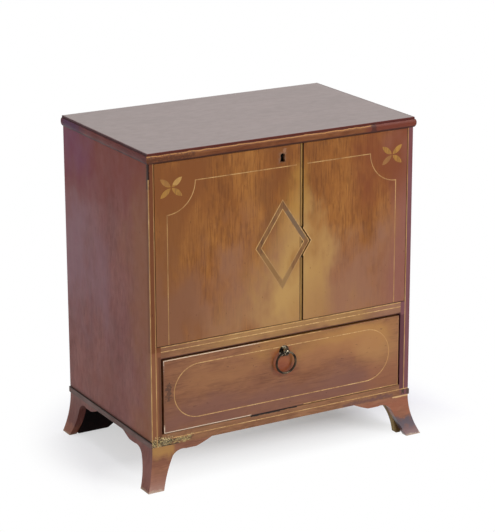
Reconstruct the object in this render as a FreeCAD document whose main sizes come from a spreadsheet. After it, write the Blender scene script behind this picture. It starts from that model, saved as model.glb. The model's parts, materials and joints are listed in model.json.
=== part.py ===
import FreeCAD, Part
import os
import Sketcher

# Sugar chest on four flared bracket feet: a fixed top, a pair of unequal inlaid doors over one long drawer.
# X runs across the front, Y from the front face to the back, Z up from the floor. Lengths are in mm.
# Pieces are laid out from the left edge of the case front, then moved so the middle of the base is the origin.

doc = FreeCAD.newDocument("SugarChest")
sheet = doc.addObject("Spreadsheet::Sheet", "Sizes")
sizeCount = 0


# A number that also remembers how it was worked out from the sheet, so every property can be bound to it.
class Sized:
    def __init__(self, value, text):
        self.value = value
        self.text = text

    def __add__(self, other):
        return Sized(self.value + valueOf(other), "(" + self.text + " + " + textOf(other) + ")")

    def __radd__(self, other):
        return Sized(valueOf(other) + self.value, "(" + textOf(other) + " + " + self.text + ")")

    def __sub__(self, other):
        return Sized(self.value - valueOf(other), "(" + self.text + " - " + textOf(other) + ")")

    def __rsub__(self, other):
        return Sized(valueOf(other) - self.value, "(" + textOf(other) + " - " + self.text + ")")

    def __mul__(self, other):
        return Sized(self.value * valueOf(other), "(" + self.text + " * " + textOf(other) + ")")

    def __rmul__(self, other):
        return Sized(valueOf(other) * self.value, "(" + textOf(other) + " * " + self.text + ")")

    def __truediv__(self, other):
        return Sized(self.value / valueOf(other), "(" + self.text + " / " + textOf(other) + ")")

    def __neg__(self):
        return Sized(-self.value, "(-1 * " + self.text + ")")


def valueOf(item):
    if isinstance(item, Sized):
        return item.value
    return float(item)


def textOf(item):
    if isinstance(item, Sized):
        return item.text
    return str(item)


# One line of the sheet: a plain number with a readable alias.
def size(alias, value):
    global sizeCount
    sizeCount = sizeCount + 1
    sheet.set("A" + str(sizeCount), str(value))
    sheet.setAlias("A" + str(sizeCount), alias)
    return Sized(float(value), "Sizes." + alias)


# Case
caseWidth = size("case_width", 600)
caseDepth = size("case_depth", 371)
footHeight = size("foot_height", 84.5)
caseHeight = size("case_height", 572)
sideThickness = size("side_thickness", 22)
topThickness = size("top_thickness", 20.5)
footFlare = size("foot_flare", 20)
runOver = size("cut_overrun", 10)
backThickness = size("back_thickness", 12)
backRebate = size("back_rebate_width", 10)
backLap = size("back_lap", 6)
housingDepth = size("housing_depth", 7)
baseRailHeight = size("base_rail_height", 24.5)
railThickness = size("rail_thickness", 20)
bottomThickness = size("bottom_thickness", 14)
drawerOpeningHeight = size("drawer_opening_height", 156.5)
doorRailHeight = size("door_rail_height", 24.5)
doorRailDepth = size("door_rail_depth", 60)
dustBoardThickness = size("dust_board_thickness", 14)
shelfShare = size("shelf_share", 0.5076)
shelfThickness = size("shelf_thickness", 14)
shelfSetback = size("shelf_setback", 34)
cleatHeight = size("cleat_height", 18)
cleatThickness = size("cleat_thickness", 14)
nosingDepth = size("nosing_depth", 5)
nosingShoulder = size("nosing_shoulder", 2)
nosingFillet = size("nosing_fillet", 4.5)
nosingStep = size("nosing_step", 1.4)
baseStripHeight = size("base_strip_height", 11.5)
baseStripThickness = size("base_strip_thickness", 3)

# Doors and their pivots
doorThickness = size("door_thickness", 19)
doorRebateStart = size("door_rebate_start", 12)
doorRebateDepth = size("door_rebate_depth", 21.2)
doorEdgeGap = size("door_edge_gap", 1.5)
seamSetoff = size("seam_setoff", 39.5)
seamGap = size("seam_gap", 3)
notchGap = size("notch_gap", 3.5)
pivotInset = size("pivot_inset", 7)
pivotSetback = size("pivot_setback", 4.5)
pivotRadius = size("pivot_radius", 2)
pivotClearance = size("pivot_clearance", 0.05)
pivotReach = size("pivot_reach", 5)
pivotPlateLength = size("pivot_plate_length", 36)
pivotPlateWidth = size("pivot_plate_width", 6)
pivotPlateThickness = size("pivot_plate_thickness", 1.6)
pivotEndLength = size("pivot_end_length", 4.5)
beadWidth = size("bead_width", 3.5)
beadProud = size("bead_proud", 1)
beadDepth = size("bead_depth", 4)
beadRelief = size("bead_relief", 6)

# Stringing and figures let into the front
stringWidth = size("string_width", 1.7)
stringDepth = size("string_depth", 1.2)
cornerStringInset = size("corner_string_inset", 10.3)
railStringUpperDrop = size("rail_string_upper_drop", 2)
railStringLowerDrop = size("rail_string_lower_drop", 11.2)
cornerStringLoss = size("corner_string_loss", 30)
baseStringRise = size("base_string_rise", 12.9)
baseStringStart = size("base_string_start", 43)
doorStringInset = size("door_string_inset", 39)
doorStringDrop = size("door_string_drop", 41)
doorStringRadius = size("door_string_radius", 61.5)
doorStringSeamGap = size("door_string_seam_gap", 9)
diagonalShare = size("diagonal_share", 0.70710678)
figureSetoff = size("figure_setoff", 5)
lozengeHeightShare = size("lozenge_height_share", 0.45)
lozengeHalfHeight = size("lozenge_half_height", 93)
lozengeHalfWidth = size("lozenge_half_width", 62)
lozengeInnerShare = size("lozenge_inner_share", 0.8)
lozengeString = size("lozenge_string", 2.2)
flowerInset = size("flower_inset", 49.5)
flowerDrop = size("flower_drop", 50)
petalLength = size("petal_length", 30)
petalHalfWidth = size("petal_half_width", 5.3)
petalCoreGap = size("petal_core_gap", 1.6)
petalAcrossShare = size("petal_across_share", 0.78)
petalUpShare = size("petal_up_share", 0.6258)
ovalInset = size("oval_inset", 49)
ovalDrop = size("oval_drop", 21.5)
ovalRise = size("oval_rise", 22.5)

# Drawer
drawerLeftGap = size("drawer_left_gap", 5)
drawerRightGap = size("drawer_right_gap", 4)
drawerTopGap = size("drawer_top_gap", 4.5)
drawerBottomGap = size("drawer_bottom_gap", 1.5)
drawerFrontThickness = size("drawer_front_thickness", 20)
drawerSideThickness = size("drawer_side_thickness", 10)
drawerSideShy = size("drawer_side_shy", 14.5)
drawerBackRoom = size("drawer_back_room", 27)
drawerBackThickness = size("drawer_back_thickness", 12)
drawerBottomThickness = size("drawer_bottom_thickness", 6)
drawerBottomRise = size("drawer_bottom_rise", 10)
drawerBottomLet = size("drawer_bottom_let", 4)
drawerRunGap = size("drawer_run_gap", 0.05)
lapThickness = size("lap_thickness", 7)
tailShare = size("tail_share", 0.52)
tailSlopeShare = size("tail_slope_share", 0.14)
tailCount = 3
guideClearance = size("guide_clearance", 0.5)
stopWidth = size("stop_width", 40)
stopDepth = size("stop_depth", 22)
stopHeight = size("stop_height", 6)
stopInset = size("stop_inset", 70)

# Ring pull
pullSetoff = size("pull_setoff", 1)
pullDrop = size("pull_drop", 32)
pullBallRadius = size("pull_ball_radius", 7.5)
pullBallSetoff = size("pull_ball_setoff", 8.2)
pullPlateRadius = size("pull_plate_radius", 11.5)
pullPlateThickness = size("pull_plate_thickness", 2)
pullNeckShare = size("pull_neck_share", 0.8)
pullNeckRiseShare = size("pull_neck_rise_share", 0.6)
pullShankRadius = size("pull_shank_radius", 3)
pullShankExtra = size("pull_shank_extra", 8)
pullNutWidth = size("pull_nut_width", 13)
pullNutThickness = size("pull_nut_thickness", 4)
ringRadius = size("ring_radius", 22)
ringWireRadius = size("ring_wire_radius", 2.3)
ringHoleRadius = size("ring_hole_radius", 3.6)

# Lock on the left door and bolt on the right one
keyholeDrop = size("keyhole_drop", 14.5)
keyholeHeight = size("keyhole_height", 17.5)
keyholeRadius = size("keyhole_radius", 5)
keyholeNeckShare = size("keyhole_neck_share", 1.5426)
keyholeNeckHalf = size("keyhole_neck_half", 4.2)
keyholeFootHalf = size("keyhole_foot_half", 5.6)
lockWidth = size("lock_width", 62)
lockHeight = size("lock_height", 46)
lockThickness = size("lock_thickness", 12)
lockBoltWidth = size("lock_bolt_width", 26)
lockBoltThickness = size("lock_bolt_thickness", 4)
lockBoltHeight = size("lock_bolt_height", 24)
lockBoltRoom = size("lock_bolt_room", 0.15)
lockBoltBackWall = size("lock_bolt_back_wall", 3)
lockPinRadius = size("lock_pin_radius", 1.7)
lockPinSetback = size("lock_pin_setback", 1.5)
boltTravel = size("bolt_travel", 8)
boltDrop = size("bolt_drop", 0.6)
mortiseRoom = size("mortise_room", 0.6)
slideBoltInset = size("slide_bolt_inset", 14)
slideBoltWidth = size("slide_bolt_width", 7)
slideBoltThickness = size("slide_bolt_thickness", 4.5)
slideBoltLength = size("slide_bolt_length", 84)
slidePlateWidth = size("slide_plate_width", 20)
slidePlateLength = size("slide_plate_length", 64)
slidePlateDrop = size("slide_plate_drop", 10)
slidePlateThickness = size("slide_plate_thickness", 1.6)
stapleThickness = size("staple_thickness", 2)
stapleHeight = size("staple_height", 8)
stapleRoom = size("staple_room", 0.2)
slideKnobRadius = size("slide_knob_radius", 4)
slideKnobLength = size("slide_knob_length", 8)

# Feet
facingThickness = size("foot_facing_thickness", 16)
footSpan = size("foot_span", 133)
lobeEndShares = (size("lobe_end_share", 0.737), size("lobe_end_height_share", 0.839))
lobeRunShares = (size("lobe_via_share", 0.86), size("lobe_via_height_share", 0.905))
lobeStartShares = (size("lobe_start_share", 0.556), size("lobe_start_height_share", 0.839))
kneeShares = (size("knee_share", 0.331), size("knee_height_share", 0.72))
kneeViaShares = (size("knee_via_share", 0.4), size("knee_via_height_share", 0.81))
toeShares = (size("toe_via_share", 0.214), size("toe_via_height_share", 0.36))
toeEndShare = size("toe_end_share", 0.109)
rearKneeShares = (size("rear_knee_share", 0.335), size("rear_knee_height_share", 0.68))
rearToeShares = (size("rear_toe_via_share", 0.3), size("rear_toe_via_height_share", 0.34))
rearToeEndShare = size("rear_toe_end_share", 0.24)
flareViaShare = size("flare_via_share", 0.24)
flareViaHeightShare = size("flare_via_height_share", 0.5)
backingThickness = size("backing_thickness", 16)
backingGap = size("backing_gap", 3)
backingStart = size("backing_start", 16)
backingLift = size("backing_lift", 3)
backingShy = size("backing_shy", 16)
backingToe = size("backing_toe", 11)
blockWidth = size("foot_block_width", 24)
blockLift = size("foot_block_lift", 56)
rearBracketThickness = size("rear_bracket_thickness", 15)
rearBracketSetback = size("rear_bracket_setback", 24)
rearBracketFit = size("rear_bracket_fit", 0.5)
rearBracketFlareShare = size("rear_bracket_flare_share", 0.925)
rearBracketToe = size("rear_bracket_toe", 50)
rearBracketShares = (size("rear_bracket_share", 0.78), size("rear_bracket_height_share", 0.38))

doc.recompute()

caseBottom = footHeight
caseTop = footHeight + caseHeight
drawerFloor = caseBottom + baseRailHeight
drawerCeiling = drawerFloor + drawerOpeningHeight
cupboardFloor = drawerCeiling + doorRailHeight
doorBottom = cupboardFloor + doorEdgeGap
doorTop = caseTop - doorEdgeGap
doorHeight = doorTop - doorBottom
insideWidth = caseWidth - 2 * sideThickness
insideDepth = caseDepth - backThickness
middleShift = (caseDepth - footFlare) / 2
shelfHeight = cupboardFloor + (caseTop - cupboardFloor) * shelfShare
seamLeft = caseWidth / 2 + seamSetoff
figureCentre = caseWidth / 2 - figureSetoff
figureHeight = doorBottom + doorHeight * lozengeHeightShare
keyholeTop = doorTop - keyholeDrop
keyholeBottom = keyholeTop - keyholeHeight
doorStringTop = doorTop - doorStringDrop
flowerHeight = doorTop - flowerDrop
railStringUpper = cupboardFloor - railStringUpperDrop
railStringLower = cupboardFloor - railStringLowerDrop
baseStringHeight = caseBottom + baseStringRise
ovalTop = drawerCeiling - ovalDrop
ovalBottom = drawerFloor + ovalRise
drawerSideHeight = drawerOpeningHeight - drawerSideShy
drawerLength = insideDepth - drawerBackRoom
pullAcross = caseWidth / 2 - pullSetoff
pullHeight = drawerCeiling - pullDrop

pieces = []


# Moves a shape from the layout position, measured from the case front's left edge, to the origin's frame.
def place(item, x, y, z):
    frameX = x - caseWidth / 2
    frameY = y - middleShift
    item.Placement.Base = FreeCAD.Vector(valueOf(frameX), valueOf(frameY), valueOf(z))
    item.setExpression("Placement.Base.x", textOf(frameX))
    item.setExpression("Placement.Base.y", textOf(frameY))
    item.setExpression("Placement.Base.z", textOf(z))
    return item


def box(label, x, y, z, width, depth, height):
    item = doc.addObject("Part::Box", label)
    item.Label = label
    item.setExpression("Length", textOf(width))
    item.setExpression("Width", textOf(depth))
    item.setExpression("Height", textOf(height))
    return place(item, x, y, z)


# A cylinder along the given axis letter, starting at the given centre point.
def rod(label, x, y, z, radius, length, axis):
    item = doc.addObject("Part::Cylinder", label)
    item.Label = label
    item.setExpression("Radius", textOf(radius))
    item.setExpression("Height", textOf(length))
    if axis == "X":
        item.Placement.Rotation = FreeCAD.Rotation(FreeCAD.Vector(0, 1, 0), 90)
    if axis == "Y":
        item.Placement.Rotation = FreeCAD.Rotation(FreeCAD.Vector(1, 0, 0), -90)
    return place(item, x, y, z)


def cut(label, base, tools):
    item = doc.addObject("Part::Cut", label)
    item.Base = base
    if len(tools) == 1:
        item.Tool = tools[0]
    else:
        item.Tool = join(label + "_cutters", tools)
    item.Label = label
    return item


def join(label, parts):
    item = doc.addObject("Part::MultiFuse", label)
    item.Shapes = parts
    item.Label = label
    return item


# Separate solids that share one node.
def group(label, parts):
    item = doc.addObject("Part::Compound", label)
    item.Links = parts
    item.Label = label
    return item


def mirrored(label, source):
    item = doc.addObject("Part::Mirroring", label)
    item.Source = source
    item.Normal = FreeCAD.Vector(1, 0, 0)
    item.Label = label
    return item


def keep(item):
    pieces.append(item)
    return item


def newBody(label, x, y, z):
    body = doc.addObject("PartDesign::Body", label)
    body.Label = label
    return place(body, x, y, z)


# A closed outline on one of the body's own planes. A corner is (x, y); four numbers mean an arc that
# reaches the corner through the second pair. Every number is bound to the sheet.
def sketch(body, name, plane, corners, offset=0):
    item = body.newObject("Sketcher::SketchObject", name)
    face = [entry for entry in body.Origin.OriginFeatures if entry.Role == plane][0]
    item.AttachmentSupport = [(face, "")]
    item.MapMode = "FlatFace"
    if isinstance(offset, Sized):
        item.setExpression("AttachmentOffset.Base.z", offset.text)
    count = len(corners)
    points = [FreeCAD.Vector(valueOf(corner[0]), valueOf(corner[1]), 0) for corner in corners]
    ends = []
    for index in range(count):
        here = points[index]
        following = points[(index + 1) % count]
        target = corners[(index + 1) % count]
        if len(target) == 4:
            via = FreeCAD.Vector(valueOf(target[2]), valueOf(target[3]), 0)
            item.addGeometry(Part.Arc(here, via, following), False)
        else:
            item.addGeometry(Part.LineSegment(here, following), False)
        first = item.getPoint(index, 1)
        if (first - here).Length < (first - following).Length:
            ends.append((1, 2))
        else:
            ends.append((2, 1))
    for index in range(count):
        before = (index - 1) % count
        item.addConstraint(Sketcher.Constraint("Coincident", before, ends[before][1], index, ends[index][0]))
    for index in range(count):
        pin(item, index, ends[index][0], corners[index][0], corners[index][1])
    for index in range(count):
        target = corners[(index + 1) % count]
        if len(target) == 4:
            pinCentre(item, index, corners[index], target)
    return item


def pin(item, geometry, end, x, y):
    pinOne(item, "DistanceX", geometry, end, x)
    pinOne(item, "DistanceY", geometry, end, y)


def pinOne(item, kind, geometry, end, amount):
    number = item.addConstraint(Sketcher.Constraint(kind, -1, 1, geometry, end, valueOf(amount)))
    if isinstance(amount, Sized):
        item.setExpression("Constraints[" + str(number) + "]", amount.text)


# With both ends held, one coordinate of the centre settles an arc that passes through the given point.
def pinCentre(item, geometry, here, target):
    viaX = target[2] - here[0]
    viaY = target[3] - here[1]
    endX = target[0] - here[0]
    endY = target[1] - here[1]
    twiceArea = 2 * (viaX * endY - viaY * endX)
    viaSquare = viaX * viaX + viaY * viaY
    endSquare = endX * endX + endY * endY
    if abs(valueOf(endY)) >= abs(valueOf(endX)):
        centreX = here[0] + (endY * viaSquare - viaY * endSquare) / twiceArea
        pinOne(item, "DistanceX", geometry, 3, centreX)
    else:
        centreY = here[1] + (viaX * endSquare - endX * viaSquare) / twiceArea
        pinOne(item, "DistanceY", geometry, 3, centreY)


def pad(body, profile, length, reverse=False):
    item = body.newObject("PartDesign::Pad", profile.Name + "_pad")
    item.Profile = profile
    item.setExpression("Length", textOf(length))
    item.Reversed = reverse
    body.Tip = item
    return item


def pocket(body, profile, length, reverse=False):
    item = body.newObject("PartDesign::Pocket", profile.Name + "_pocket")
    item.Profile = profile
    item.setExpression("Length", textOf(length))
    item.Reversed = reverse
    body.Tip = item
    return item


# A flat piece whose outline is seen from the front; it grows backwards from the given distance.
def frontPlate(label, x, y, z, corners, thickness):
    body = newBody(label, x, y, z)
    pad(body, sketch(body, label + "_outline", "XZ_Plane", corners), thickness, True)
    return body


def sidePlate(label, x, y, z, corners, thickness):
    body = newBody(label, x, y, z)
    pad(body, sketch(body, label + "_outline", "YZ_Plane", corners), thickness)
    return body


# Layout distance of a piece of the given width on the left or the right side of the case.
def sideways(onRight, start, width):
    if onRight:
        return caseWidth - start - width
    return start


# Case sides: rebated in front for the doors, rebated behind for the back boards, housed for the two floors.
def caseSide(label, onRight, strings):
    board = box(label + "_board", sideways(onRight, 0, sideThickness), 0, caseBottom, sideThickness,
                caseDepth, caseHeight)
    rebateWidth = sideThickness - doorRebateStart
    front = box(label + "_front_rebate", sideways(onRight, doorRebateStart, rebateWidth + runOver), -runOver,
                cupboardFloor, rebateWidth + runOver, doorRebateDepth + runOver, caseHeight)
    behind = box(label + "_back_rebate",
                 sideways(onRight, sideThickness - backRebate, backRebate + runOver), insideDepth,
                 caseBottom - runOver, backRebate + runOver, backThickness + runOver,
                 caseHeight + 2 * runOver)
    housings = []
    for name, low, high, start in (("bottom", drawerFloor - bottomThickness, drawerFloor, railThickness),
                                   ("dust", cupboardFloor - dustBoardThickness, cupboardFloor, doorRailDepth)):
        housings.append(box(label + "_" + name + "_housing",
                            sideways(onRight, sideThickness - housingDepth, housingDepth + runOver), start, low,
                            housingDepth + runOver, insideDepth - start, high - low))
    return keep(cut(label, board, [front, behind] + housings + strings))


def topBoard(mortises):
    board = box("top_board_blank", 0, 0, caseTop, caseWidth, caseDepth, topThickness)
    return keep(cut("top_board", board, mortises))


# Moulded edging round the top: a flat fillet above, a narrow step, then a full round drawn back under.
def nosingProfile():
    roundTop = topThickness - nosingFillet
    return [(0, 0),
            (-nosingShoulder, 0),
            (-nosingShoulder - nosingStep, roundTop, -nosingDepth, roundTop / 2),
            (-nosingShoulder, roundTop),
            (-nosingShoulder, topThickness),
            (0, topThickness)]


def frontNosing():
    body = newBody("top_front_moulding", -nosingDepth, 0, caseTop)
    length = caseWidth + 2 * nosingDepth
    pad(body, sketch(body, "front_moulding_section", "YZ_Plane", nosingProfile()), length)
    leftMitre = [(-runOver, -runOver - nosingDepth), (nosingDepth, 0), (nosingDepth, runOver),
                 (-runOver, runOver)]
    pocket(body, sketch(body, "front_moulding_left_mitre", "XY_Plane", leftMitre), topThickness, True)
    rightMitre = [(length - corner[0], corner[1]) for corner in leftMitre]
    pocket(body, sketch(body, "front_moulding_right_mitre", "XY_Plane", rightMitre), topThickness, True)
    return keep(body)


def sideNosing(label):
    body = newBody(label, 0, -nosingDepth, caseTop)
    profile = sketch(body, label + "_section", "XZ_Plane", nosingProfile())
    pad(body, profile, caseDepth + nosingDepth, True)
    mitre = [(-nosingDepth - runOver, -runOver), (0, nosingDepth), (runOver, nosingDepth), (runOver, -runOver)]
    pocket(body, sketch(body, label + "_mitre", "XY_Plane", mitre), topThickness, True)
    return keep(body)


def backBoards():
    boardHeight = caseHeight / 3
    width = insideWidth + 2 * backRebate
    start = sideThickness - backRebate
    tongue = None
    for index, label in enumerate(("back_board_lower", "back_board_middle", "back_board_upper")):
        low = caseBottom + index * boardHeight
        plank = box(label + "_plank", start, insideDepth, low, width, backThickness, boardHeight)
        if tongue is not None:
            plank = cut(label + "_lapped", plank, [tongue])
        if label == "back_board_upper":
            plank.Label = label
            keep(plank)
        else:
            tongue = box(label + "_tongue", start, insideDepth, low + boardHeight, width, backThickness / 2,
                         backLap)
            keep(join(label, [plank, tongue]))


# Four lens-shaped petals set on the diagonals round a small bare core.
def flower(label, centreX, centreZ):
    petals = []
    middle = (petalLength + petalCoreGap) / 2
    for index, (alongX, alongZ) in enumerate(((1, 1), (-1, 1), (-1, -1), (1, -1))):
        across = alongX * petalAcrossShare
        up = alongZ * petalUpShare
        sideX = up * petalHalfWidth
        sideZ = across * petalHalfWidth
        outline = [(across * petalCoreGap, up * petalCoreGap, across * middle - sideX, up * middle + sideZ),
                   (across * petalLength, up * petalLength, across * middle + sideX, up * middle - sideZ)]
        petals.append(frontPlate(label + "_" + str(index + 1), centreX, 0, centreZ, outline, stringDepth))
    return keep(group(label, petals))


def caseStrings():
    outer = box("corner_string_outer", 0, 0, baseStringHeight, stringWidth, stringDepth,
                caseTop - cornerStringLoss - baseStringHeight)
    inner = box("corner_string_inner", cornerStringInset, 0, caseBottom, stringWidth, stringDepth, caseHeight)
    left = keep(group("left_corner_strings", [outer, inner]))
    right = keep(box("right_corner_string", caseWidth - cornerStringInset - stringWidth, 0,
                     baseStringHeight + stringWidth, stringWidth, stringDepth,
                     caseTop - baseStringHeight - stringWidth))
    upper = box("rail_string_upper", sideThickness, 0, railStringUpper, insideWidth, stringDepth, stringWidth)
    lower = box("rail_string_lower", sideThickness, 0, railStringLower, insideWidth, stringDepth, stringWidth)
    rails = keep(group("rail_strings", [upper, lower]))
    base = keep(box("base_string", baseStringStart, 0, baseStringHeight, caseWidth - baseStringStart,
                    stringDepth, stringWidth))
    return left, right, rails, base


# The string frames each door: up the hinge side, round a hollow corner, then along the top to the seam.
def doorString(label, onRight, endAcross):
    corner = doorStringInset
    top = doorStringTop
    inner = doorStringRadius + stringWidth
    outline = [(corner, doorBottom),
               (corner, top - doorStringRadius),
               (corner + doorStringRadius, top, corner + doorStringRadius * diagonalShare,
                top - doorStringRadius * diagonalShare),
               (endAcross, top),
               (endAcross, top - stringWidth),
               (corner + inner, top - stringWidth),
               (corner + stringWidth, top - inner, corner + inner * diagonalShare, top - inner * diagonalShare),
               (corner + stringWidth, doorBottom)]
    if onRight:
        outline = [mirrorCorner(item) for item in outline]
    return keep(frontPlate(label, 0, 0, 0, outline, stringDepth))


def mirrorCorner(corner):
    if len(corner) == 4:
        return (caseWidth - corner[0], corner[1], caseWidth - corner[2], corner[3])
    return (caseWidth - corner[0], corner[1])


def diamond(label, share, depth):
    halfWidth = lozengeHalfWidth * share
    halfHeight = lozengeHalfHeight * share
    outline = [(-halfWidth, 0), (0, -halfHeight), (halfWidth, 0), (0, halfHeight)]
    return frontPlate(label, figureCentre, 0, figureHeight, outline, depth)


# Lozenge of a light outer string, a darker crossed band and a light inner string.
def lozenge():
    outerShare = 1 - lozengeString / lozengeHalfWidth
    innerShare = lozengeInnerShare - lozengeString / lozengeHalfWidth
    whole = diamond("lozenge_whole", 1, stringDepth)
    insideOuter = diamond("lozenge_inside_outer", outerShare, stringDepth)
    outside = cut("lozenge_string_outer", whole, [insideOuter])
    bandBlank = diamond("lozenge_band_blank", outerShare, stringDepth)
    bandHole = diamond("lozenge_band_hole", lozengeInnerShare, stringDepth)
    band = keep(cut("lozenge_band", bandBlank, [bandHole]))
    innerBlank = diamond("lozenge_inner_blank", lozengeInnerShare, stringDepth)
    innerHole = diamond("lozenge_inner_hole", innerShare, stringDepth)
    inside = cut("lozenge_string_inner", innerBlank, [innerHole])
    strings = keep(group("lozenge_strings", [outside, inside]))
    return [strings, band]


tipAcross = figureCentre + lozengeHalfWidth
tabHalfHeight = lozengeHalfHeight * (tipAcross - seamLeft) / lozengeHalfWidth
seamRight = seamLeft + seamGap
notchTip = tipAcross + notchGap
notchHalfHeight = lozengeHalfHeight * (notchTip - seamRight) / lozengeHalfWidth


def notchString():
    reach = lozengeString * lozengeHalfHeight / lozengeHalfWidth
    centre = figureHeight
    outline = [(seamRight, centre + notchHalfHeight),
               (notchTip, centre),
               (seamRight, centre - notchHalfHeight),
               (seamRight, centre - notchHalfHeight - reach),
               (notchTip + lozengeString, centre),
               (seamRight, centre + notchHalfHeight + reach)]
    return keep(frontPlate("notch_string", 0, 0, 0, outline, stringDepth))


# Half-round bead on the left door's free edge, broken where the lozenge runs past the seam.
def meetingBead():
    beads = []
    spans = ((doorBottom, figureHeight - tabHalfHeight - beadRelief),
             (figureHeight + tabHalfHeight + beadRelief, doorTop))
    for index, (low, high) in enumerate(spans):
        label = "meeting_bead_" + str(index + 1)
        outline = [(0, beadDepth), (0, 0), (beadWidth, 0, beadWidth / 2, -beadProud), (beadWidth, beadDepth)]
        body = newBody(label, seamLeft - beadWidth, 0, low)
        pad(body, sketch(body, label + "_outline", "XY_Plane", outline), high - low)
        beads.append(body)
    return keep(group("meeting_bead", beads))


# Pivot hinges: a plate let into the door's end grain carries the pin, a drilled plate in the case takes it.
pivotAcross = doorRebateStart + doorEdgeGap + pivotInset
plateStart = pivotAcross - pivotEndLength
plateFront = pivotSetback - pivotPlateWidth / 2


def pivotPin(label, plateLow, pinLow):
    plate = box(label + "_plate", plateStart, plateFront, plateLow, pivotPlateLength, pivotPlateWidth,
                pivotPlateThickness)
    shaft = rod(label + "_shaft", pivotAcross, pivotSetback, pinLow, pivotRadius,
                doorEdgeGap + pivotReach + pivotPlateThickness, "Z")
    return join(label, [plate, shaft])


def pivotSeat(label, plateLow, holeLow):
    plate = box(label + "_plate", plateStart, plateFront, plateLow, pivotPlateLength, pivotPlateWidth,
                pivotPlateThickness)
    hole = rod(label + "_hole", pivotAcross, pivotSetback, plateLow - runOver, pivotRadius + pivotClearance,
               2 * runOver, "Z")
    well = rod(label + "_well", pivotAcross, pivotSetback, holeLow, pivotRadius + mortiseRoom,
               pivotReach + mortiseRoom, "Z")
    return plate, cut(label, plate, [hole]), well


def pivots():
    low = pivotPin("pivot_low", doorBottom, cupboardFloor - pivotReach)
    high = pivotPin("pivot_high", doorTop - pivotPlateThickness, doorTop - pivotPlateThickness)
    doorSet = keep(group("left_door_pivots", [low, high]))
    doorSetRight = keep(mirrored("right_door_pivots", doorSet))
    lowPlate, lowSeat, lowWell = pivotSeat("pivot_seat_low", cupboardFloor - pivotPlateThickness,
                                           cupboardFloor - pivotReach - mortiseRoom)
    highPlate, highSeat, highWell = pivotSeat("pivot_seat_high", caseTop, caseTop)
    seats = group("left_pivot_plates", [lowSeat, highSeat])
    seatsRight = mirrored("right_pivot_plates", seats)
    keep(group("pivot_plates", [seats, seatsRight]))
    lowCut = join("pivot_low_cutter", [lowPlate, lowWell])
    highCut = join("pivot_high_cutter", [highPlate, highWell])
    return {"doorSet": doorSet, "doorSetRight": doorSetRight, "lowLeft": lowCut, "highLeft": highCut,
            "lowRight": mirrored("pivot_low_cutter_right", lowCut),
            "highRight": mirrored("pivot_high_cutter_right", highCut)}


# Left door: the wide one, with the keyhole and the point of the lozenge standing past the seam.
def leftDoor(inlays, pivotSet, lockRoom):
    start = doorRebateStart + doorEdgeGap
    centre = figureHeight
    outline = [(start, doorBottom), (seamLeft, doorBottom), (seamLeft, centre - tabHalfHeight),
               (tipAcross, centre), (seamLeft, centre + tabHalfHeight), (seamLeft, doorTop), (start, doorTop)]
    board = frontPlate("left_door_board", 0, 0, 0, outline, doorThickness)
    return keep(cut("left_door", board, inlays + [pivotSet, keyhole(), lockRoom]))


# Right door: the narrow one, notched to clear the point of the lozenge.
def rightDoor(inlays, pivotSet):
    stop = caseWidth - doorRebateStart - doorEdgeGap
    centre = figureHeight
    outline = [(seamRight, doorBottom), (stop, doorBottom), (stop, doorTop), (seamRight, doorTop),
               (seamRight, centre + notchHalfHeight), (notchTip, centre), (seamRight, centre - notchHalfHeight)]
    board = frontPlate("right_door_board", 0, 0, 0, outline, doorThickness)
    return keep(cut("right_door", board, inlays + [pivotSet]))


def keyhole():
    neckHeight = keyholeTop - keyholeRadius * keyholeNeckShare
    outline = [(-keyholeFootHalf, keyholeBottom),
               (keyholeFootHalf, keyholeBottom),
               (keyholeNeckHalf, neckHeight),
               (-keyholeNeckHalf, neckHeight, 0, keyholeTop)]
    return frontPlate("keyhole", figureCentre, -runOver, 0, outline, runOver + doorThickness - lockThickness)


# Lock let into the back of the left door; its bolt shoots up into the top board.
def lock():
    low = doorTop - lockHeight
    front = doorThickness - lockThickness
    start = figureCentre - lockWidth / 2
    room = box("lock_room", start, front, low, lockWidth, lockThickness, lockHeight)
    shell = box("lock_shell", start, front, low, lockWidth, lockThickness, lockHeight)
    boltFront = doorThickness - lockBoltBackWall - lockBoltRoom - lockBoltThickness
    boltStart = figureCentre - lockBoltWidth / 2
    boltLow = doorTop - boltDrop - lockBoltHeight
    slot = box("lock_slot", boltStart - lockBoltRoom, boltFront - lockBoltRoom, boltLow - boltDrop,
               lockBoltWidth + 2 * lockBoltRoom, lockBoltThickness + 2 * lockBoltRoom, lockHeight)
    drillPin = rod("lock_drill_pin", figureCentre, lockPinSetback, keyholeTop - keyholeRadius, lockPinRadius,
                   front - lockPinSetback + lockBoltRoom, "Y")
    keep(join("lock_case", [cut("lock_hollow_shell", shell, [slot]), drillPin]))
    keep(box("lock_bolt", boltStart, boltFront, boltLow, lockBoltWidth, lockBoltThickness, lockBoltHeight))
    mortise = box("lock_bolt_mortise", boltStart - mortiseRoom, boltFront - mortiseRoom, caseTop,
                  lockBoltWidth + 2 * mortiseRoom, lockBoltThickness + 2 * mortiseRoom, boltTravel)
    return room, mortise


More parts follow.
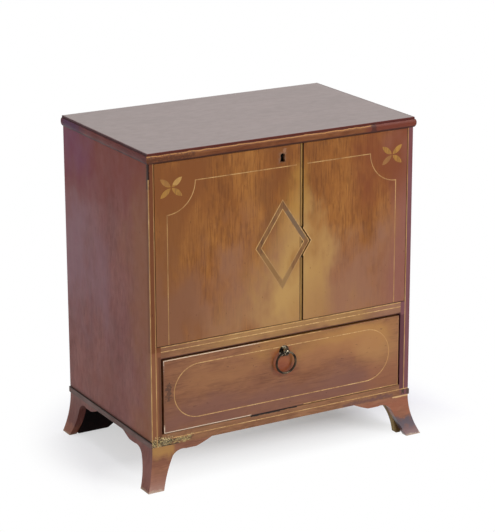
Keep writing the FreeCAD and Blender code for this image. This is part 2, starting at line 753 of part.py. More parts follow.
# Slide bolt on the back of the right door: a plate with two staples, and a round-knobbed bolt.
def slideBolt():
    centre = seamRight + slideBoltInset + slideBoltWidth / 2
    plateHigh = doorTop - slidePlateDrop
    plateLow = plateHigh - slidePlateLength
    plate = box("slide_plate_flat", centre - slidePlateWidth / 2, doorThickness, plateLow, slidePlateWidth,
                slidePlateThickness, slidePlateLength)
    boltStart = centre - slideBoltWidth / 2
    boltFront = doorThickness + slidePlateThickness + drawerRunGap
    staples = []
    for index, low in enumerate((plateLow, plateHigh - stapleHeight)):
        outerWidth = slideBoltWidth + 2 * stapleRoom + 2 * stapleThickness
        outerDepth = slideBoltThickness + stapleRoom + drawerRunGap + stapleThickness
        block = box("staple_block_" + str(index), centre - outerWidth / 2, doorThickness + slidePlateThickness,
                    low, outerWidth, outerDepth, stapleHeight)
        channel = box("staple_channel_" + str(index), boltStart - stapleRoom,
                      doorThickness + slidePlateThickness, low - runOver, slideBoltWidth + 2 * stapleRoom,
                      slideBoltThickness + stapleRoom + drawerRunGap, stapleHeight + 2 * runOver)
        staples.append(cut("staple_" + str(index), block, [channel]))
    keep(join("slide_bolt_plate", [plate] + staples))
    boltLow = doorTop - boltDrop - slideBoltLength
    bar = box("slide_bar", boltStart, boltFront, boltLow, slideBoltWidth, slideBoltThickness, slideBoltLength)
    knob = rod("slide_knob", centre, boltFront, (plateLow + plateHigh) / 2, slideKnobRadius,
               slideBoltThickness + slideKnobLength, "Y")
    keep(join("slide_bolt", [bar, knob]))
    return box("slide_bolt_mortise", boltStart - mortiseRoom, boltFront - mortiseRoom, caseTop,
               slideBoltWidth + 2 * mortiseRoom, slideBoltThickness + 2 * mortiseRoom, boltTravel)


# Drawer side seen from the side: half-blind tails reach into the front, through tails into the back.
def drawerSide(label, across, low, bottom):
    pitch = drawerSideHeight / tailCount
    rootHalf = pitch * tailShare / 2
    frontEdge = drawerFrontThickness
    backEdge = drawerLength - drawerBackThickness
    frontTail = drawerFrontThickness - lapThickness
    frontHalf = rootHalf + frontTail * tailSlopeShare
    backHalf = rootHalf + drawerBackThickness * tailSlopeShare
    outline = [(frontEdge, 0)]
    for index in range(tailCount):
        centre = pitch * (index + 0.5)
        outline = outline + [(frontEdge, centre - rootHalf), (lapThickness, centre - frontHalf),
                             (lapThickness, centre + frontHalf), (frontEdge, centre + rootHalf)]
    outline = outline + [(frontEdge, drawerSideHeight), (backEdge, drawerSideHeight)]
    for index in reversed(range(tailCount)):
        centre = pitch * (index + 0.5)
        outline = outline + [(backEdge, centre + rootHalf), (drawerLength, centre + backHalf),
                             (drawerLength, centre - backHalf), (backEdge, centre - rootHalf)]
    outline = outline + [(backEdge, 0)]
    blank = sidePlate(label + "_blank", across, 0, low, outline, drawerSideThickness)
    return keep(cut(label, blank, [bottom]))


def ovalString():
    rings = []
    for label, inset in (("oval_outside", 0), ("oval_inside", stringWidth)):
        low = ovalBottom + inset
        high = ovalTop - inset
        start = ovalInset + inset
        stop = caseWidth - ovalInset - inset
        radius = (ovalTop - ovalBottom) / 2 - inset
        middle = (ovalTop + ovalBottom) / 2
        outline = [(start + radius, low, start, middle),
                   (stop - radius, low),
                   (stop - radius, high, stop, middle),
                   (start + radius, high)]
        rings.append(frontPlate(label, 0, 0, 0, outline, stringDepth))
    return keep(cut("drawer_oval_string", rings[0], [rings[1]]))


def drawer():
    start = sideThickness + drawerLeftGap
    stop = caseWidth - sideThickness - drawerRightGap
    width = stop - start
    low = drawerFloor + drawerBottomGap
    high = drawerCeiling - drawerTopGap
    runLow = drawerFloor + drawerRunGap
    bottomLow = runLow + drawerBottomRise
    let = drawerSideThickness - drawerBottomLet
    bottomFront = drawerFrontThickness - drawerBottomLet
    bottom = keep(box("drawer_bottom", start + let, bottomFront, bottomLow, width - 2 * let,
                      drawerLength - bottomFront, drawerBottomThickness))
    left = drawerSide("drawer_left_side", start, runLow, bottom)
    right = drawerSide("drawer_right_side", stop - drawerSideThickness, runLow, bottom)
    backLow = bottomLow + drawerBottomThickness
    backBlank = box("drawer_back_blank", start, drawerLength - drawerBackThickness, backLow, width,
                    drawerBackThickness, runLow + drawerSideHeight - backLow)
    keep(cut("drawer_back", backBlank, [left, right]))
    oval = ovalString()
    edgeOuter = box("edge_string_outer", start, 0, low, width, stringDepth, high - low)
    edgeInner = box("edge_string_inner", start + stringWidth, 0, low + stringWidth, width - 2 * stringWidth,
                    stringDepth, high - low - 2 * stringWidth)
    edge = keep(cut("drawer_edge_string", edgeOuter, [edgeInner]))
    shankHole = rod("pull_shank_hole", pullAcross, -runOver, pullHeight, pullShankRadius,
                    drawerFrontThickness + 2 * runOver, "Y")
    frontBlank = box("drawer_front_blank", start, 0, low, width, drawerFrontThickness, high - low)
    keep(cut("drawer_front", frontBlank, [left, right, bottom, oval, edge, shankHole]))
    guideLow = drawerFloor
    leftGuide = box("left_guide", sideThickness, drawerFrontThickness, guideLow, drawerLeftGap - guideClearance,
                    drawerLength - drawerFrontThickness, baseRailHeight)
    rightGuide = box("right_guide", stop + guideClearance, drawerFrontThickness, guideLow,
                     drawerRightGap - guideClearance, drawerLength - drawerFrontThickness, baseRailHeight)
    keep(group("drawer_guides", [leftGuide, rightGuide]))
    stops = []
    for index, across in enumerate((start + stopInset, stop - stopInset - stopWidth)):
        stops.append(box("stop_" + str(index), across, drawerFrontThickness + drawerRunGap, drawerFloor,
                         stopWidth, stopDepth, stopHeight))
    keep(group("drawer_stops", stops))


# Ring pull: a turned post with a ball drilled for the ring, held inside by a square nut.
def ringPull():
    body = newBody("pull_post", pullAcross, 0, pullHeight)
    shankEnd = drawerFrontThickness + pullShankExtra
    neckMeet = pullBallSetoff - pullBallRadius * pullNeckShare
    neckRise = pullBallRadius * pullNeckRiseShare
    outline = [(0, -pullBallSetoff - pullBallRadius),
               (neckRise, -neckMeet, pullBallRadius, -pullBallSetoff),
               (neckRise, -pullPlateThickness),
               (pullPlateRadius - pullPlateThickness, -pullPlateThickness),
               (pullPlateRadius, 0),
               (pullShankRadius, 0),
               (pullShankRadius, shankEnd),
               (0, shankEnd)]
    profile = sketch(body, "pull_post_outline", "XY_Plane", outline)
    turned = body.newObject("PartDesign::Revolution", "pull_post_turned")
    turned.Profile = profile
    turned.ReferenceAxis = (profile, ["V_Axis"])
    turned.Angle = 360
    body.Tip = turned
    hole = rod("ring_hole", pullAcross - pullPlateRadius, -pullBallSetoff, pullHeight, ringHoleRadius,
               2 * pullPlateRadius, "X")
    keep(cut("pull_boss", body, [hole]))
    nutBlank = box("pull_nut_blank", pullAcross - pullNutWidth / 2, drawerFrontThickness,
                   pullHeight - pullNutWidth / 2, pullNutWidth, pullNutThickness, pullNutWidth)
    nutHole = rod("pull_nut_hole", pullAcross, drawerFrontThickness - runOver, pullHeight, pullShankRadius,
                  2 * runOver, "Y")
    keep(cut("pull_nut", nutBlank, [nutHole]))
    ring = doc.addObject("Part::Torus", "pull_ring")
    ring.Label = "pull_ring"
    ring.setExpression("Radius1", textOf(ringRadius))
    ring.setExpression("Radius2", textOf(ringWireRadius))
    ring.Placement.Rotation = FreeCAD.Rotation(FreeCAD.Vector(1, 0, 0), 90)
    keep(place(ring, pullAcross, -pullBallSetoff, pullHeight - ringRadius))


# Inner edge of a bracket foot: a lobe under the case, then a knee that sweeps out to the toe.
def footEdge(sign):
    span = footSpan * sign
    return [(span, footHeight),
            (span * lobeEndShares[0], footHeight * lobeEndShares[1], span * lobeRunShares[0],
             footHeight * lobeRunShares[1]),
            (span * lobeStartShares[0], footHeight * lobeStartShares[1])]


def frontFootCorners():
    return ([(0, footHeight)] + footEdge(1)
            + [(footSpan * kneeShares[0], footHeight * kneeShares[1], footSpan * kneeViaShares[0],
                footHeight * kneeViaShares[1]),
               (footSpan * toeEndShare, 0, footSpan * toeShares[0], footHeight * toeShares[1]),
               (-footFlare, 0)])


# The last side of every flared outline is the concave curve back up to the case.
def flareBack(corners):
    first = (corners[0][0], corners[0][1], -footFlare * flareViaShare, footHeight * flareViaHeightShare)
    return [first] + corners[1:]


# Section of a flared piece of even thickness, whose face starts at the given distance under the case.
def flareSection(start, thickness):
    back = start + thickness
    return [(start, footHeight, start - footFlare * flareViaShare, footHeight * flareViaHeightShare),
            (back, footHeight),
            (back - footFlare, 0, back - footFlare * flareViaShare, footHeight * flareViaHeightShare),
            (start - footFlare, 0)]


def mitreCutter(label, flip):
    reach = footFlare + runOver
    corners = [(-reach, -reach), (facingThickness, facingThickness), (facingThickness, facingThickness + reach),
               (-reach, facingThickness + reach)]
    if flip:
        corners = [(corner[1], corner[0]) for corner in corners]
    body = newBody(label, 0, 0, 0)
    pad(body, sketch(body, label + "_outline", "XY_Plane", corners), footHeight)
    return body


def common(label, first, second):
    item = doc.addObject("Part::MultiCommon", label)
    item.Shapes = [first, second]
    item.Label = label
    return item


def frontFoot():
    depth = footFlare + facingThickness
    length = footSpan + footFlare
    seenFront = frontPlate("front_facing_outline", 0, -footFlare, 0, flareBack(frontFootCorners()), depth)
    frontCurve = sidePlate("front_facing_curve", -footFlare, 0, 0, flareSection(0, facingThickness), length)
    frontShape = common("front_facing_shape", seenFront, frontCurve)
    front = keep(cut("front_left_foot_front", frontShape, [mitreCutter("front_facing_mitre", False)]))
    seenSide = sidePlate("side_facing_outline", -footFlare, 0, 0, flareBack(frontFootCorners()), depth)
    sideCurve = frontPlate("side_facing_curve", 0, -footFlare, 0, flareSection(0, facingThickness), length)
    sideShape = common("side_facing_shape", seenSide, sideCurve)
    side = keep(cut("front_left_foot_side", sideShape, [mitreCutter("side_facing_mitre", True)]))
    keep(mirrored("front_right_foot_front", front))
    keep(mirrored("front_right_foot_side", side))


def rearFoot():
    depth = footFlare + facingThickness
    outline = [(0, footHeight)] + footEdge(-1)
    outline = outline + [(-footSpan * rearKneeShares[0], footHeight * rearKneeShares[1],
                          -footSpan * kneeViaShares[0], footHeight * kneeViaShares[1]),
                         (-footSpan * rearToeEndShare, 0, -footSpan * rearToeShares[0],
                          footHeight * rearToeShares[1]),
                         (0, 0)]
    seen = sidePlate("rear_facing_outline", -footFlare, caseDepth, 0, outline, depth)
    curve = frontPlate("rear_facing_curve", 0, caseDepth - footSpan, 0, flareSection(0, facingThickness),
                       footSpan)
    side = keep(common("rear_left_foot_side", seen, curve))
    keep(mirrored("rear_right_foot_side", side))


def footBacks():
    top = footHeight
    knee = footSpan * kneeShares[0]
    backingOutline = [(backingStart, top),
                      (knee + backingShy, top),
                      (knee, top * kneeShares[1], footSpan * kneeViaShares[0], top * kneeViaShares[1]),
                      (backingStart + backingToe, backingLift, footSpan * toeShares[0], top * toeShares[1]),
                      (backingStart, backingLift)]
    backingFront = facingThickness + backingGap
    seen = frontPlate("left_backing_outline", 0, backingFront - footFlare, 0, backingOutline,
                      footFlare + backingThickness)
    curve = sidePlate("left_backing_curve", 0, 0, 0, flareSection(backingFront, backingThickness), footSpan)
    backing = common("left_backing", seen, curve)
    keep(group("front_foot_backings", [backing, mirrored("right_backing", backing)]))
    bracketEdge = facingThickness + rearBracketFit
    bracketOutline = [(bracketEdge, top, bracketEdge - footFlare * flareViaShare, top * flareViaHeightShare),
                      (footSpan, top),
                      (backingStart + rearBracketToe, backingLift, footSpan * rearBracketShares[0],
                       top * rearBracketShares[1]),
                      (bracketEdge - footFlare * rearBracketFlareShare, backingLift)]
    bracket = frontPlate("left_bracket", 0, caseDepth - rearBracketSetback - rearBracketThickness, 0,
                         bracketOutline, rearBracketThickness)
    keep(group("rear_foot_brackets", [bracket, mirrored("right_bracket", bracket)]))
    blocks = []
    frontBlockStart = facingThickness + backingGap + backingThickness
    rearBlockStart = caseDepth - rearBracketSetback - rearBracketThickness - blockWidth
    for label, start in (("front_block", frontBlockStart), ("rear_block", rearBlockStart)):
        block = box(label, backingStart, start, blockLift, blockWidth, blockWidth, footHeight - blockLift)
        blocks = blocks + [block, mirrored(label + "_right", block)]
    keep(group("foot_blocks", blocks))


def board(label, x, y, z, width, depth, height, tools=()):
    blank = box(label + "_blank", x, y, z, width, depth, height)
    if tools:
        return keep(cut(label, blank, list(tools)))
    blank.Label = label
    return keep(blank)


# Case
leftStrings, rightString, railStrings, baseString = caseStrings()
pivotParts = pivots()
lockRoom, lockMortise = lock()
slideMortise = slideBolt()
caseSide("left_side", False, [leftStrings, pivotParts["lowLeft"]])
caseSide("right_side", True, [rightString, baseString, pivotParts["lowRight"]])
topBoard([pivotParts["highLeft"], pivotParts["highRight"], lockMortise, slideMortise])
frontNosing()
leftNosing = sideNosing("top_left_moulding")
keep(mirrored("top_right_moulding", leftNosing))
backBoards()
board("base_rail", sideThickness, 0, caseBottom, insideWidth, railThickness, baseRailHeight, [baseString])
housedStart = sideThickness - housingDepth
housedWidth = insideWidth + 2 * housingDepth
board("bottom_board", housedStart, railThickness, drawerFloor - bottomThickness, housedWidth,
      insideDepth - railThickness, bottomThickness)
board("door_rail", sideThickness, 0, drawerCeiling, insideWidth, doorRailDepth, doorRailHeight,
      [railStrings, pivotParts["lowLeft"], pivotParts["lowRight"]])
board("dust_board", housedStart, doorRailDepth, cupboardFloor - dustBoardThickness, housedWidth,
      insideDepth - doorRailDepth, dustBoardThickness)
board("shelf", sideThickness, shelfSetback, shelfHeight, insideWidth, insideDepth - shelfSetback,
      shelfThickness)
leftCleat = box("left_cleat", sideThickness, shelfSetback, shelfHeight - cleatHeight, cleatThickness,
                insideDepth - shelfSetback, cleatHeight)
keep(group("shelf_cleats", [leftCleat, mirrored("right_cleat", leftCleat)]))
leftStrip = board("left_base_strip", -baseStripThickness, 0, caseBottom, baseStripThickness, caseDepth,
                  baseStripHeight)
keep(mirrored("right_base_strip", leftStrip))

# Doors
bead = meetingBead()
leftInlays = lozenge() + [bead,
                          doorString("left_door_string", False, seamLeft - beadWidth - doorStringSeamGap),
                          flower("left_flower", flowerInset, flowerHeight)]
leftDoor(leftInlays, pivotParts["doorSet"], lockRoom)
rightInlays = [notchString(),
               doorString("right_door_string", True, caseWidth - seamRight - doorStringSeamGap),
               flower("right_flower", caseWidth - flowerInset, flowerHeight)]
rightDoor(rightInlays, pivotParts["doorSetRight"])

# Drawer and its pull
drawer()
ringPull()

# Feet
frontFoot()
rearFoot()
footBacks()

doc.recompute()


# Nothing is written unless every object of the model is sound.
def faults():
    found = []
    for item in doc.Objects:
        if "Invalid" in item.State or "Error" in item.State:
            found.append(item.Label + " " + str(item.State))
    for item in pieces:
        if item.Shape.isNull() or not item.Shape.isValid() or len(item.Shape.Solids) == 0:
            found.append(item.Label + " has no sound solid")
    return found


def write():
    os.makedirs("parts", exist_ok=True)
    for item in pieces:
        item.Shape.exportStep(os.path.join("parts", item.Label + ".step"))
        print(item.Label, len(item.Shape.Solids), round(item.Shape.Volume))


problems = faults()
if problems:
    raise RuntimeError("; ".join(problems))
write()
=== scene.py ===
import bpy
import bmesh
import json
from mathutils import Matrix, Vector

# Sugar chest: an old inlaid cherry case on flared bracket feet, a pair of doors over one drawer.

noiseLow = 0.3   # nearly all values of a noise lie between these two
noiseHigh = 0.7

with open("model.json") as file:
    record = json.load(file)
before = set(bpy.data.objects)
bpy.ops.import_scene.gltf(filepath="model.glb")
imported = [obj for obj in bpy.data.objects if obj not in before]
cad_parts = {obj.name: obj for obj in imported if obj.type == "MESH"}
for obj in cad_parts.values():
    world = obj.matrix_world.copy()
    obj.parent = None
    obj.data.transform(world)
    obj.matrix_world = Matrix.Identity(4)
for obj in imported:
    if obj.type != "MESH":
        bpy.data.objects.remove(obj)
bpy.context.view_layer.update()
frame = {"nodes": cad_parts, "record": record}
nodes = frame["nodes"]
print("frame loaded:", len(nodes), "nodes")


# sRGB hex to linear, by the standard sRGB curve
def toLinear(hexColour, alpha=1.0):
    parts = [int(hexColour[i:i + 2], 16) / 255 for i in (1, 3, 5)]
    return tuple(c / 12.92 if c <= 0.04045 else ((c + 0.055) / 1.055) ** 2.4 for c in parts) + (alpha,)


# adds one node, sets its plain properties and socket values, and links its inputs
def addNode(tree, kind, settings=None, values=None, links=None):
    node = tree.nodes.new(kind)
    for name, value in (settings or {}).items():
        setattr(node, name, value)
    for name, value in (values or {}).items():
        node.inputs[name].default_value = value
    for name, source in (links or {}).items():
        tree.links.new(source, node.inputs[name])
    return node


def newMaterial(name):
    material = bpy.data.materials.new(name)
    material.use_nodes = True
    material.node_tree.nodes.clear()
    return material, material.node_tree


def finishMaterial(tree, shader):
    output = tree.nodes.new("ShaderNodeOutputMaterial")
    tree.links.new(shader.outputs[0], output.inputs["Surface"])


# colour ramp from (position, hex) pairs
def setRamp(node, stops):
    ramp = node.color_ramp
    for index, (position, colour) in enumerate(stops):
        element = ramp.elements[index] if index < 2 else ramp.elements.new(position)
        element.position = position
        element.color = toLinear(colour)
    return node


# noise stretched along one axis; sizeMm is its spacing across the axis, reach how much longer it is
# along it
def grainNoise(tree, place, axis, sizeMm, reach, detail, seedPlace=(0, 0, 0), waver=0.0):
    scale = 1000.0 / sizeMm
    scales = [scale / reach if letter == axis else scale for letter in "XYZ"]
    spread = addNode(tree, "ShaderNodeMapping", values={"Location": seedPlace, "Scale": scales},
                     links={"Vector": place.outputs["Object"]})
    return addNode(tree, "ShaderNodeTexNoise",
                   values={"Scale": 1.0, "Detail": detail, "Roughness": 0.55, "Distortion": waver},
                   links={"Vector": spread.outputs["Vector"]})


# multiplies a colour by a ramp of the given noise
def shadeBy(tree, colour, noise, stops, strength):
    tone = setRamp(addNode(tree, "ShaderNodeValToRGB", links={"Fac": noise.outputs["Fac"]}), stops)
    mixed = addNode(tree, "ShaderNodeMix", {"data_type": "RGBA", "blend_type": "MULTIPLY"},
                    {"Factor": strength})
    tree.links.new(colour, mixed.inputs[6])
    tree.links.new(tone.outputs["Color"], mixed.inputs[7])
    return mixed.outputs[2]


# lays one flat colour over another where the amount is high
def layOver(tree, base, colour, amount):
    mixed = addNode(tree, "ShaderNodeMix", {"data_type": "RGBA"}, links={"Factor": amount})
    tree.links.new(base, mixed.inputs[6])
    mixed.inputs[7].default_value = toLinear(colour)
    return mixed.outputs[2]


# What a polished wood has unless its own look says otherwise. The Mm values are the real spacings of its
# clouds of colour, stripes, pores and mottle; pores wider than 2 mm are drawn coarser than real, to show.
plainWood = {"cloudMm": 70.0, "stripeMm": 9.0, "stripeDark": "#c9bcb2", "stripeStrength": 0.5,
             "poreMm": 2.0, "poreDark": "#a8958a", "poreStrength": 0.4,
             "mottleMm": 13.0, "mottleDark": "#cdbcae", "mottle": 0.35,
             "rubMm": 24.0, "rub": 0.06, "specular": 0.3, "coat": 0.1, "bump": 0.15,
             "seedPlace": (0, 0, 0), "layers": []}


# Old French-polished wood: soft cloudy colour, a faint stripe along the board, fine dark pores and a thin
# film that shines softly, duller in rubbed patches.
def polishedWood(name, ownLook):
    look = {**plainWood, **ownLook}
    material, tree = newMaterial(name)
    place = addNode(tree, "ShaderNodeTexCoord")
    axis = look["grainAxis"]
    seedPlace = look["seedPlace"]
    clouds = grainNoise(tree, place, axis, look["cloudMm"], reach=3.0, detail=3.0, seedPlace=seedPlace,
                        waver=0.5)
    tint = addNode(tree, "ShaderNodeValToRGB", links={"Fac": clouds.outputs["Fac"]})
    setRamp(tint, look["figure"])
    stripes = grainNoise(tree, place, axis, look["stripeMm"], reach=14.0, detail=3.0, seedPlace=seedPlace,
                         waver=0.3)
    colour = shadeBy(tree, tint.outputs["Color"], stripes,
                     [(0.36, look["stripeDark"]), (0.6, "#ffffff")], look["stripeStrength"])
    pores = grainNoise(tree, place, axis, look["poreMm"], reach=12.0, detail=3.0)
    colour = shadeBy(tree, colour, pores,
                     [(0.36, look["poreDark"]), (0.5, "#ffffff")], look["poreStrength"])
    mottle = grainNoise(tree, place, axis, look["mottleMm"], reach=2.0, detail=4.0, seedPlace=seedPlace,
                        waver=0.6)
    colour = shadeBy(tree, colour, mottle,
                     [(0.38, look["mottleDark"]), (0.58, "#ffffff")], look["mottle"])
    for layer in look["layers"]:
        colour = layer(tree, place, colour)
    wear = addNode(tree, "ShaderNodeTexNoise", values={"Scale": 1000.0 / look["rubMm"], "Detail": 4.0},
                   links={"Vector": place.outputs["Object"]})
    shine = addNode(tree, "ShaderNodeMapRange",
                    values={"From Min": 0.35, "From Max": 0.7, "To Min": look["roughness"] - look["rub"],
                            "To Max": look["roughness"] + look["rub"]},
                    links={"Value": wear.outputs["Fac"]})
    bump = addNode(tree, "ShaderNodeBump", values={"Strength": look["bump"], "Distance": 0.0004},
                   links={"Height": pores.outputs["Fac"]})
    shader = addNode(tree, "ShaderNodeBsdfPrincipled",
                     values={"IOR": 1.5, "Specular IOR Level": look["specular"],
                             "Coat Weight": look["coat"], "Coat Roughness": 0.2, "Coat IOR": 1.5},
                     links={"Base Color": colour, "Roughness": shine.outputs["Result"],
                            "Normal": bump.outputs["Normal"]})
    finishMaterial(tree, shader)
    return material


# blends a second colour in by a soft box in the frame's metres; None leaves an axis free. Its edge wanders
# with a noise of the given spacing, drawn out along the grain.
def boxStain(low, high, edge, colour, strength, noiseMm=60.0, wander=0.8, grainAxis="Z", reach=1.8):
    def build(tree, place, base):
        split = addNode(tree, "ShaderNodeSeparateXYZ", links={"Vector": place.outputs["Object"]})
        noise = grainNoise(tree, place, grainAxis, noiseMm, reach, detail=3.0, seedPlace=(9.1, 4.2, 6.4))
        shift = addNode(tree, "ShaderNodeMapRange",
                        values={"From Min": noiseLow, "From Max": noiseHigh,
                                "To Min": -edge * wander, "To Max": edge * wander},
                        links={"Value": noise.outputs["Fac"]})
        amount = None
        for axis, lowEnd, highEnd in zip("XYZ", low, high):
            if lowEnd is None:
                continue
            moved = addNode(tree, "ShaderNodeMath", {"operation": "ADD"},
                            links={0: split.outputs[axis], 1: shift.outputs["Result"]})
            rise = addNode(tree, "ShaderNodeMapRange", {"interpolation_type": "SMOOTHSTEP"},
                           {"From Min": lowEnd - edge, "From Max": lowEnd + edge},
                           {"Value": moved.outputs[0]})
            fall = addNode(tree, "ShaderNodeMapRange", {"interpolation_type": "SMOOTHSTEP"},
                           {"From Min": highEnd - edge, "From Max": highEnd + edge,
                            "To Min": 1.0, "To Max": 0.0},
                           {"Value": moved.outputs[0]})
            both = addNode(tree, "ShaderNodeMath", {"operation": "MULTIPLY"},
                           links={0: rise.outputs["Result"], 1: fall.outputs["Result"]})
            if amount is None:
                amount = addNode(tree, "ShaderNodeMath", {"operation": "MULTIPLY"}, {1: strength},
                                 {0: both.outputs[0]})
            else:
                amount = addNode(tree, "ShaderNodeMath", {"operation": "MULTIPLY"},
                                 links={0: amount.outputs[0], 1: both.outputs[0]})
        return layOver(tree, base, colour, amount.outputs[0])
    return build


# a small chip, crack or wear mark with a ragged edge; also small patches of painted light and shade
def mark(low, high, edge, colour, strength, noiseMm=5.0, wander=1.2):
    return boxStain(low, high, edge, colour, strength, noiseMm, wander, reach=1.0)


# a sharp dark line of dirt or shade, where two pieces meet or along a moulding's edge
def darkLine(low, high, edge, colour, strength, wander=0.3):
    return boxStain(low, high, edge, colour, strength, noiseMm=30.0, wander=wander)


# short dark nicks and dents scattered along the given axis, where a noise rises above the threshold
def nicks(axis, sizeMm, reach, threshold, colour, strength, fade=0.03):
    def build(tree, place, base):
        noise = grainNoise(tree, place, axis, sizeMm, reach, detail=2.0, seedPlace=(5.3, 2.1, 7.7))
        hit = addNode(tree, "ShaderNodeMapRange",
                      values={"From Min": threshold, "From Max": threshold + fade, "To Max": strength},
                      links={"Value": noise.outputs["Fac"]})
        return layOver(tree, base, colour, hit.outputs["Result"])
    return build


# Blackened cast brass or forged iron: a dark skin worn to metal on the high spots. patchMm is the real
# spacing of the worn spots.
def oldMetal(name, look):
    material, tree = newMaterial(name)
    place = addNode(tree, "ShaderNodeTexCoord")
    skin = addNode(tree, "ShaderNodeTexNoise", values={"Scale": 1000.0 / look["patchMm"], "Detail": 6.0},
                   links={"Vector": place.outputs["Object"]})
    tint = addNode(tree, "ShaderNodeValToRGB", links={"Fac": skin.outputs["Fac"]})
    setRamp(tint, look["skin"])
    rough = addNode(tree, "ShaderNodeMapRange",
                    values={"From Min": noiseLow, "From Max": noiseHigh,
                            "To Min": look["roughness"] + 0.12, "To Max": look["roughness"] - 0.08},
                    links={"Value": skin.outputs["Fac"]})
    bump = addNode(tree, "ShaderNodeBump", values={"Strength": look.get("bump", 0.3), "Distance": 0.0003},
                   links={"Height": skin.outputs["Fac"]})
    shader = addNode(tree, "ShaderNodeBsdfPrincipled",
                     values={"Metallic": look["metallic"],
                             "Specular IOR Level": look.get("specular", 0.5)},
                     links={"Base Color": tint.outputs["Color"], "Roughness": rough.outputs["Result"],
                            "Normal": bump.outputs["Normal"]})
    finishMaterial(tree, shader)
    return material


# The looks. Each layer goes over the ones above it: low corner, high corner and soft edge in the frame's
# metres, colour, strength, and where it matters the spacing of the edge's noise and how far it wanders.

# case sides, polished cherry: brown at the front edge, dark red at the top, cooler and purple
# towards the back, with a painted shade line under the moulding and a chipped front corner
sideWood = {
    "grainAxis": "Z", "cloudMm": 70.0, "roughness": 0.42, "stripeStrength": 0.25, "specular": 0.1,
    "coat": 0.0, "figure": [(0.32, "#784540"), (0.52, "#804d47"), (0.72, "#88544c")],
    "layers": [
        # broad clouds: purple-grey behind, brown in front, dark red above, purple in the top corner
        boxStain((None, 0.05, 0.28), (None, 0.3, 0.56), 0.08, "#85626a", 0.7, noiseMm=90.0),
        boxStain((None, -0.3, None), (None, -0.11, None), 0.06, "#824f30", 0.8, noiseMm=90.0),
        boxStain((None, -0.3, 0.55), (None, 0.3, 0.7), 0.1, "#712e24", 0.85, noiseMm=90.0),
        boxStain((None, 0.08, 0.6), (None, 0.3, 0.7), 0.07, "#6a3152", 0.7, noiseMm=90.0),
        boxStain((None, -0.04, 0.1), (None, 0.1, 0.2), 0.06, "#7d4735", 0.5, noiseMm=90.0),
        # the front edge: beside the door, beside the drawer, in the shade of the drawer's gap
        boxStain((-0.31, -0.19, 0.28), (-0.27, -0.166, 0.7), 0.002, "#6b3d22", 0.8, noiseMm=20.0,
                 wander=0.3),
        boxStain((-0.31, -0.19, 0.08), (-0.27, -0.166, 0.28), 0.01, "#84563a", 0.8, noiseMm=20.0,
                 wander=0.5),
        boxStain((-0.2845, -0.19, 0.1), (-0.27, -0.17, 0.27), 0.002, "#5e3a28", 0.8, noiseMm=20.0,
                 wander=0.5),
        # dust over the base strip, painted shade under the moulding
        boxStain((None, None, 0.08), (None, None, 0.0995), 0.004, "#5f4a44", 0.5),
        darkLine((None, None, 0.6562), (None, None, 0.68), 0.0008, "#2a1410", 0.7),
        # a dark chip high on the front edge; at its foot bare wood with dirt in it
        mark((-0.302, -0.19, 0.607), (-0.2968, -0.17, 0.66), 0.0008, "#1e1210", 0.9),
        mark((-0.302, -0.19, 0.086), (-0.27, -0.17, 0.1), 0.003, "#d0ba80", 1.0, noiseMm=3.5, wander=3.0),
        mark((-0.302, -0.19, 0.086), (-0.27, -0.17, 0.1), 0.002, "#33261a", 0.9, noiseMm=2.5, wander=6.0),
        nicks("Z", sizeMm=4.0, reach=3.0, threshold=0.72, colour="#3f211c", strength=0.5)
    ]}
# right side, the same cherry: a purple-brown front edge, warm red-brown behind it
rightSideWood = {
    "grainAxis": "Z", "cloudMm": 70.0, "roughness": 0.4, "stripeStrength": 0.25, "specular": 0.15,
    "coat": 0.0, "figure": [(0.32, "#744034"), (0.52, "#7e4839"), (0.72, "#885240")],
    "layers": [
        # purple-brown front edge, dark red above, browner behind
        darkLine((None, -0.2, None), (None, -0.166, None), 0.002, "#70474c", 0.9),
        boxStain((None, -0.16, 0.53), (None, 0.3, 0.7), 0.07, "#6c2f26", 0.7),
        boxStain((None, 0.05, 0.28), (None, 0.3, 0.5), 0.06, "#835a50", 0.5),
        # shade beside the drawer, then three bruises above the foot
        darkLine((0.27, -0.2, 0.1), (0.2885, -0.166, 0.262), 0.0015, "#563034", 0.8),
        mark((0.27, -0.19, 0.084), (0.283, -0.17, 0.096), 0.003, "#7a5038", 0.8),
        mark((0.284, -0.19, 0.087), (0.291, -0.17, 0.099), 0.002, "#35331d", 0.8),
        mark((0.296, -0.19, 0.084), (0.303, -0.17, 0.1), 0.002, "#4a3a2e", 0.8)
    ]}
